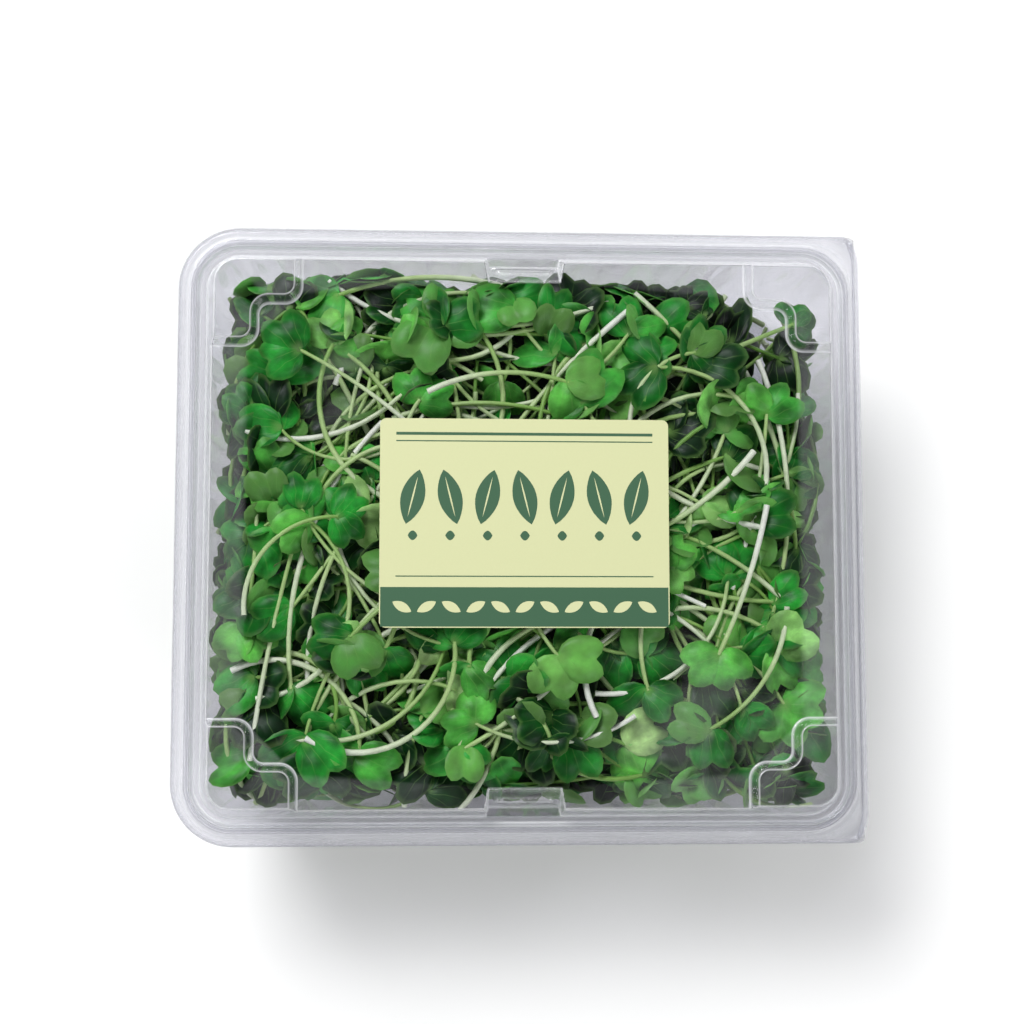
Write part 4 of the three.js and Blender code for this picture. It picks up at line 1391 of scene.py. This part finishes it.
def slab(x0, y0, x1, y1):
    return [(x0, y0), (x1, y0), (x1, y1), (x0, y1)]


class PUNNET_OT_label(bpy.types.Operator):
    """Finish the paper label and print a plain leaf border on it"""
    bl_idname = "punnet.label"
    bl_label = "Label"

    def execute(self, context):
        paper = frame["nodes"]["label"]
        paper.data.materials.clear()
        paper.data.materials.append(make_coated_paper("coated_label_paper", settings().paper))
        middle = (LABEL_LOW + LABEL_HIGH) / 2 / MM
        cx, cy, top = middle.x, middle.y, LABEL_HIGH.z / MM
        half_x = (LABEL_HIGH.x - LABEL_LOW.x) / 2 / MM
        half_y = (LABEL_HIGH.y - LABEL_LOW.y) / 2 / MM
        points, faces = [], []
        prism(slab(cx - half_x + BAND_EDGE, cy - half_y + BAND_EDGE,
                   cx + half_x - BAND_EDGE, cy - half_y + BAND), top, top + INK_RISE, points, faces)
        for y, thick in ((half_y - 5.2, 0.9), (half_y - 7.2, 0.35), (-half_y + BAND + 3.2, 0.35)):
            prism(slab(cx - half_x + RULE_INSET, cy + y, cx + half_x - RULE_INSET, cy + y + thick),
                  top, top + INK_RISE, points, faces)
        leaves = []
        for i in range(LEAF_COUNT):
            lean = math.radians(90 + (LEAF_LEAN if i % 2 else -LEAF_LEAN))
            leaves.append((cx + (i - (LEAF_COUNT - 1) / 2) * LEAF_PITCH, cy + LEAF_RAISE, lean))
        for x, y, lean in leaves:
            prism(lens(x, y, 17.5, 7.4, lean), top, top + INK_RISE, points, faces)
            prism(lens(x, y - DOT_DROP, 3.0, 3.0, 0), top, top + INK_RISE, points, faces)
        ink = new_object("label_ink", mesh_from("label_ink", np.array(points) * MM, faces, False))
        ink.data.materials.append(make_coated_paper("green_ink", settings().ink))
        dress(ink, "cover", "label_paper")
        points, faces = [], []
        for i in range(SPRIG_COUNT):
            x = cx + (i - (SPRIG_COUNT - 1) / 2) * SPRIG_PITCH
            tilt = math.radians(SPRIG_TILT if i % 2 else -SPRIG_TILT)
            prism(lens(x, cy - half_y + BAND / 2 + 0.2, 6.6, 2.9, tilt), top + INK_RISE,
                  top + 2 * INK_RISE, points, faces)
        for x, y, lean in leaves:
            prism(lens(x, y, 13.0, 0.5, lean), top + INK_RISE, top + 2 * INK_RISE, points, faces)
        pale = new_object("label_pale", mesh_from("label_pale", np.array(points) * MM, faces, False))
        pale.data.materials.append(make_coated_paper("pale_ink", settings().paper))
        dress(pale, "cover", "label_paper")
        return {"FINISHED"}


# The heap's top above TOP_LEVEL: its height in the middle, its fall to the edges, and the half spans
DOME = {"height": 14.4, "fall": 9.0, "half_x": 97, "half_y": 85}
ARC_COUNT = 44


class PUNNET_OT_heap(bpy.types.Operator):
    """Fill the punnet with shoots, on top, along the walls and on the floor"""
    bl_idname = "punnet.heap"
    bl_label = "Heap of shoots"

    def execute(self, context):
        tall = {**TOP_HABIT, "shortest": 30, "longest": 66, "bend": 1.9, "tilt": 0.85, "sink": 0.2}
        flat = {**TOP_HABIT, "shortest": 48, "longest": 92, "bend": 2.6, "tilt": 0.45, "sink": 0.03}
        close = {**SIDE_HABIT, "shortest": 22, "longest": 48, "bend": 1.6, "tilt": 0.8, "sink": 0.16}

        def ceiling(u, v):
            out = max(abs(u) / DOME["half_x"], abs(v) / DOME["half_y"])
            return DOME["height"] - DOME["fall"] * out ** 4

        count = shoots().top_count
        inner = rooted_shoots()
        inner += heap_shoots("top", count // 2, 101, tall, (190, 164),
                             lambda u, v, d: ceiling(u, v) - 5.0 - 14 * d)
        inner += heap_shoots("top", count // 4, 109, {**tall, "tilt": 0.5}, (196, 170),
                             lambda u, v, d: ceiling(u, v) - 1.0 - 22 * d, nearest=0.84)
        # heap_inner keeps to the dark end of the tint range: painted shade for the shoots deep in the heap
        dress(Greens.piece("heap_inner", inner, 9, 201, (0.0, 0.4), (0.0, 0.25), fine=False),
              "base", "shoots", "shoot_heap")
        upper = heap_shoots("top", count // 2, 103, {**tall, "sink": 0.08}, (188, 162),
                            lambda u, v, d: ceiling(u, v) - 1.0 - 6 * d)
        upper += heap_shoots("top", count // 4, 111, {**tall, "sink": 0.08, "tilt": 0.4}, (196, 172),
                             lambda u, v, d: ceiling(u, v) + 1.5 - 7 * d, nearest=0.86)
        dress(Greens.piece("heap_top", upper, 12, 203, (0.12, 1.15), (0.1, 0.9)), "base", "shoots")
        arcs = heap_shoots("top", ARC_COUNT, 107, flat, (176, 150),
                           lambda u, v, d: ceiling(u, v) - 1.6 * d)
        dress(Greens.piece("heap_arcs", arcs, 18, 205, (0.4, 1.0), (0.7, 1.3)), "base", "shoots")
        side = shoots().side_count
        walls = []
        for face, share, span in (("front", 1.0, 178), ("back", 1.0, 178),
                                  ("left", 0.84, 152), ("right", 0.84, 152)):
            walls += heap_shoots(face, round(side * share), 300 + len(walls), close, (span, 50),
                                 lambda u, v, d: 2.4 + 0.09 * v - 6.5 * d, falls=True)
        dress(Greens.piece("heap_walls", walls, 8, 207, (0.08, 0.8), (0.05, 0.5), fine=False, paints_depth_shade=False),
              "base", "shoots")
        under = heap_shoots("floor", shoots().floor_count, 401, {**close, "sink": 0.03}, (168, 144),
                            lambda u, v, d: 3.6 - 3.5 * d)
        dress(Greens.piece("heap_floor", under, 8, 209, (0.0, 0.7), (0.1, 0.9), fine=False, paints_depth_shade=False),
              "base", "shoots")
        return {"FINISHED"}


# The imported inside: half sizes, the height of its underside, and how far its lumps stand out
CORE = {"half_x": 78.0, "half_y": 66.0, "half_z": 19.0, "underside": 7.5, "lump": 2.2}


class PUNNET_OT_core(bpy.types.Operator):
    """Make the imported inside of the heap, which the shoots hide"""
    bl_idname = "punnet.core"
    bl_label = "Packed core"

    def execute(self, context):
        bpy.ops.mesh.primitive_cube_add(size=2)
        core = context.object
        core.name = "heap_core"
        core.data.name = "heap_core"
        subdivide = core.modifiers.new("grid", "SUBSURF")
        subdivide.subdivision_type = "SIMPLE"
        subdivide.levels = subdivide.render_levels = 5
        graph = context.evaluated_depsgraph_get()
        core.data = bpy.data.meshes.new_from_object(core.evaluated_get(graph))
        core.modifiers.clear()
        count = len(core.data.vertices)
        spots = np.empty(count * 3)
        core.data.vertices.foreach_get("co", spots)
        p = spots.reshape(-1, 3)
        p = p / ((np.abs(p) ** 4).sum(1) ** (1 / 4))[:, None]
        lump = CORE["lump"] * np.sin(11 * p[:, 0] + 3 * p[:, 2]) * np.cos(9 * p[:, 1] - 4 * p[:, 2])
        x = p[:, 0] * (CORE["half_x"] + lump)
        y = p[:, 1] * (CORE["half_y"] + lump)
        z = p[:, 2] * (CORE["half_z"] + lump) + CORE["half_z"] + CORE["underside"]
        core.data.vertices.foreach_set("co", (np.stack([x, y, z], 1) * MM).ravel())
        core.data.shade_smooth()
        # Its dark greens are painted shade, for the inside of the heap
        core.data.materials.append(make_painted_core_shade())
        dress(core, "base", "shoots")
        return {"FINISHED"}


class PUNNET_OT_loose(bpy.types.Operator):
    """Lay the single shoots under the lid, each in the place of its solid"""
    bl_idname = "punnet.loose"
    bl_label = "Loose shoots"

    def execute(self, context):
        for i, shoot in enumerate(place_loose_shoots()):
            name = f"{i + 1:02d}"
            group = [(shoot, LOOSE_HABIT, Matrix.Identity(4))]
            piece = Greens.piece("single_" + name, group, 22, 500 + i, (0.3, 1.0), (0.5, 1.25))
            dress(piece, "base", "loose_shoots", "loose_shoot_" + name)
        return {"FINISHED"}


def husk_mesh(low, high, rings=9, around=14):
    """An open, cracked shell of two layers within a box, closed round its two mouths."""
    middle, half = (low + high) / 2, (high - low) / 2
    points, faces = [], []
    for shell in (1.0, 0.84):
        for r in range(rings):
            polar = math.radians(18 + r * 130 / (rings - 1))
            for i in range(around):
                angle = 2 * math.pi * i / around
                crack = 1 + 0.06 * math.sin(3 * angle + polar * 4)
                unit = Vector((math.sin(polar) * math.cos(angle), math.cos(polar),
                               math.sin(polar) * math.sin(angle))) * shell * crack * 0.94
                points.append([middle[k] + unit[k] * half[k] for k in range(3)])
    layer = rings * around
    for r in range(rings - 1):
        for i in range(around):
            a, b = r * around + i, r * around + (i + 1) % around
            faces.append((a, b, b + around, a + around))
            faces.append((layer + a, layer + a + around, layer + b + around, layer + b))
    for r in (0, rings - 1):
        for i in range(around):
            a, b = r * around + i, r * around + (i + 1) % around
            faces.append((a, layer + a, layer + b, b) if r == 0 else (b, layer + b, layer + a, a))
    return mesh_from("husk", points, faces)


class PUNNET_OT_husks(bpy.types.Operator):
    """Split the two spent seed coats open"""
    bl_idname = "punnet.husks"
    bl_label = "Seed coats"

    def execute(self, context):
        husk = make_husk()
        for name in ("seed_coat_1", "seed_coat_2"):
            shell = new_object(name.replace("seed_coat", "husk"), husk_mesh(*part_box(name)))
            shell.data.materials.append(husk)
            dress(shell, "base", "seed_coats", name)
        return {"FINISHED"}


# Where the photograph was taken from: nearly straight above, a little to the front and left
CAMERA = {"azimuth": -32.18, "elevation": 83.86, "roll": 32.31, "distance": 0.527,
          "focal_share": 1668 / 1024, "target": (-0.0035, 0.0069, 0.060)}


# Area lights: name, place, width and height in metres, and power. The cards are long and thin; their
# reflections draw the bead and the lugs as fine bright lines
CARD = (1.6, 0.06)
LIGHTS = (
    ("window", (-0.75, 1.1, 1.45), (1.0, 0.8), 37),
    ("fill", (1.2, -1.1, 1.0), (1.2, 1.0), 11),
    ("card_right", (1.3, -0.1, 1.2), CARD, 2.2),
    ("card_front", (0.1, -1.3, 1.1), CARD, 2.2),
    ("card_back", (0.2, 1.4, 1.0), CARD, 2.2),
    ("card_left", (-1.4, -0.4, 0.9), CARD, 2.2),
)
AIM = (0, 0, 0.04)
FLOOR_REACH = 6.0


def add_light(name, place, size, power):
    data = bpy.data.lights.new(name, "AREA")
    data.shape = "RECTANGLE"
    data.size, data.size_y = size
    data.energy = power
    lamp = new_object(name, data)
    lamp.location = place
    direction = Vector(AIM) - Vector(place)
    lamp.rotation_euler = direction.to_track_quat("-Z", "Y").to_euler()


def lay_floor():
    corners = [(x * FLOOR_REACH, y * FLOOR_REACH, 0) for x, y in ((-1, -1), (1, -1), (1, 1), (-1, 1))]
    floor = new_object("floor", mesh_from("floor", corners, [(0, 1, 2, 3)], False))
    floor.location.z = -0.0002
    material, tree = new_material("white_sweep")
    finish_opaque(tree, {"Base Color": linear("#fbfbfb"), "Roughness": 0.9, "Specular IOR Level": 0.0})
    floor.data.materials.append(material)


def place_camera():
    camera = bpy.data.cameras.new("camera")
    camera.sensor_width = 36
    camera.lens = CAMERA["focal_share"] * camera.sensor_width
    camera.clip_start = 0.01
    view = new_object("camera", camera)
    azimuth, elevation, roll = (math.radians(CAMERA[k]) for k in ("azimuth", "elevation", "roll"))
    back = Vector((math.cos(elevation) * math.sin(azimuth),
                   -math.cos(elevation) * math.cos(azimuth), math.sin(elevation)))
    side = Vector((0, 0, 1)).cross(back).normalized()
    up = back.cross(side)
    right = side * math.cos(roll) + up * math.sin(roll)
    above = up * math.cos(roll) - side * math.sin(roll)
    place = Vector(CAMERA["target"]) + back * CAMERA["distance"]
    turn = Matrix((right, above, back)).transposed().to_4x4()
    view.matrix_world = Matrix.Translation(place) @ turn
    bpy.context.scene.camera = view


def set_room(scene):
    """A dim room with a bright ring round it, and dark overhead so that the flat panel stays clear.

    The ring is what the sheet's bends mirror, so it draws the bead, the lugs and the bays.
    """
    world = bpy.data.worlds.new("soft_room")
    scene.world = world
    world.use_nodes = True
    tree = world.node_tree
    tree.nodes.clear()
    place = add_node(tree, "ShaderNodeTexCoord").outputs["Generated"]
    height = add_node(tree, "ShaderNodeSeparateXYZ", {0: place}).outputs["Z"]
    ring = reckon(tree, "MULTIPLY", remap(tree, height, 0.25, 0.42, 0.0, 0.5),
                  remap(tree, height, 0.62, 0.80, 1.0, 0.0))
    total = reckon(tree, "ADD", ring, remap(tree, height, 0.70, 0.93, 0.13, 0.01))
    room = add_node(tree, "ShaderNodeBackground", {"Color": linear("#fafbfc"), "Strength": total})
    add_node(tree, "ShaderNodeOutputWorld", {"Surface": room.outputs["Background"]})


class PUNNET_OT_stage(bpy.types.Operator):
    """Set the pale floor, the soft light and the camera"""
    bl_idname = "punnet.stage"
    bl_label = "Stage"

    def execute(self, context):
        lay_floor()
        set_room(context.scene)
        for light in LIGHTS:
            add_light(*light)
        place_camera()
        context.scene.view_settings.view_transform = "Standard"
        # A look across the fluted wall passes through many faces of the clear sheet
        context.scene.cycles.transparent_max_bounces = 48
        return {"FINISHED"}


STEPS = (PUNNET_OT_stage, PUNNET_OT_tray, PUNNET_OT_lid, PUNNET_OT_hinge, PUNNET_OT_label,
         PUNNET_OT_core, PUNNET_OT_heap, PUNNET_OT_loose, PUNNET_OT_husks)


class PUNNET_PT_panel(bpy.types.Panel):
    """Lists the punnet's sizes and the operators that make it"""
    bl_idname = "PUNNET_PT_panel"
    bl_label = "Shoot Punnet"
    bl_space_type = "VIEW_3D"
    bl_region_type = "UI"
    bl_category = "Punnet"

    def draw(self, context):
        for group in (context.scene.punnet, context.scene.punnet_shoots):
            for name in group.__annotations__:
                self.layout.prop(group, name)
        for step in STEPS:
            self.layout.operator(step.bl_idname)


CLASSES = (PunnetSettings, ShootSettings, *STEPS, PUNNET_PT_panel)


def register():
    for cls in CLASSES:
        bpy.utils.register_class(cls)
    bpy.types.Scene.punnet = PointerProperty(type=PunnetSettings)
    bpy.types.Scene.punnet_shoots = PointerProperty(type=ShootSettings)


def unregister():
    del bpy.types.Scene.punnet_shoots
    del bpy.types.Scene.punnet
    for cls in reversed(CLASSES):
        bpy.utils.unregister_class(cls)


def main():
    register()
    for step in STEPS:
        group, name = step.bl_idname.split(".")
        getattr(getattr(bpy.ops, group), name)()
    Greens.clear_patterns()


if __name__ == "__main__":
    main()
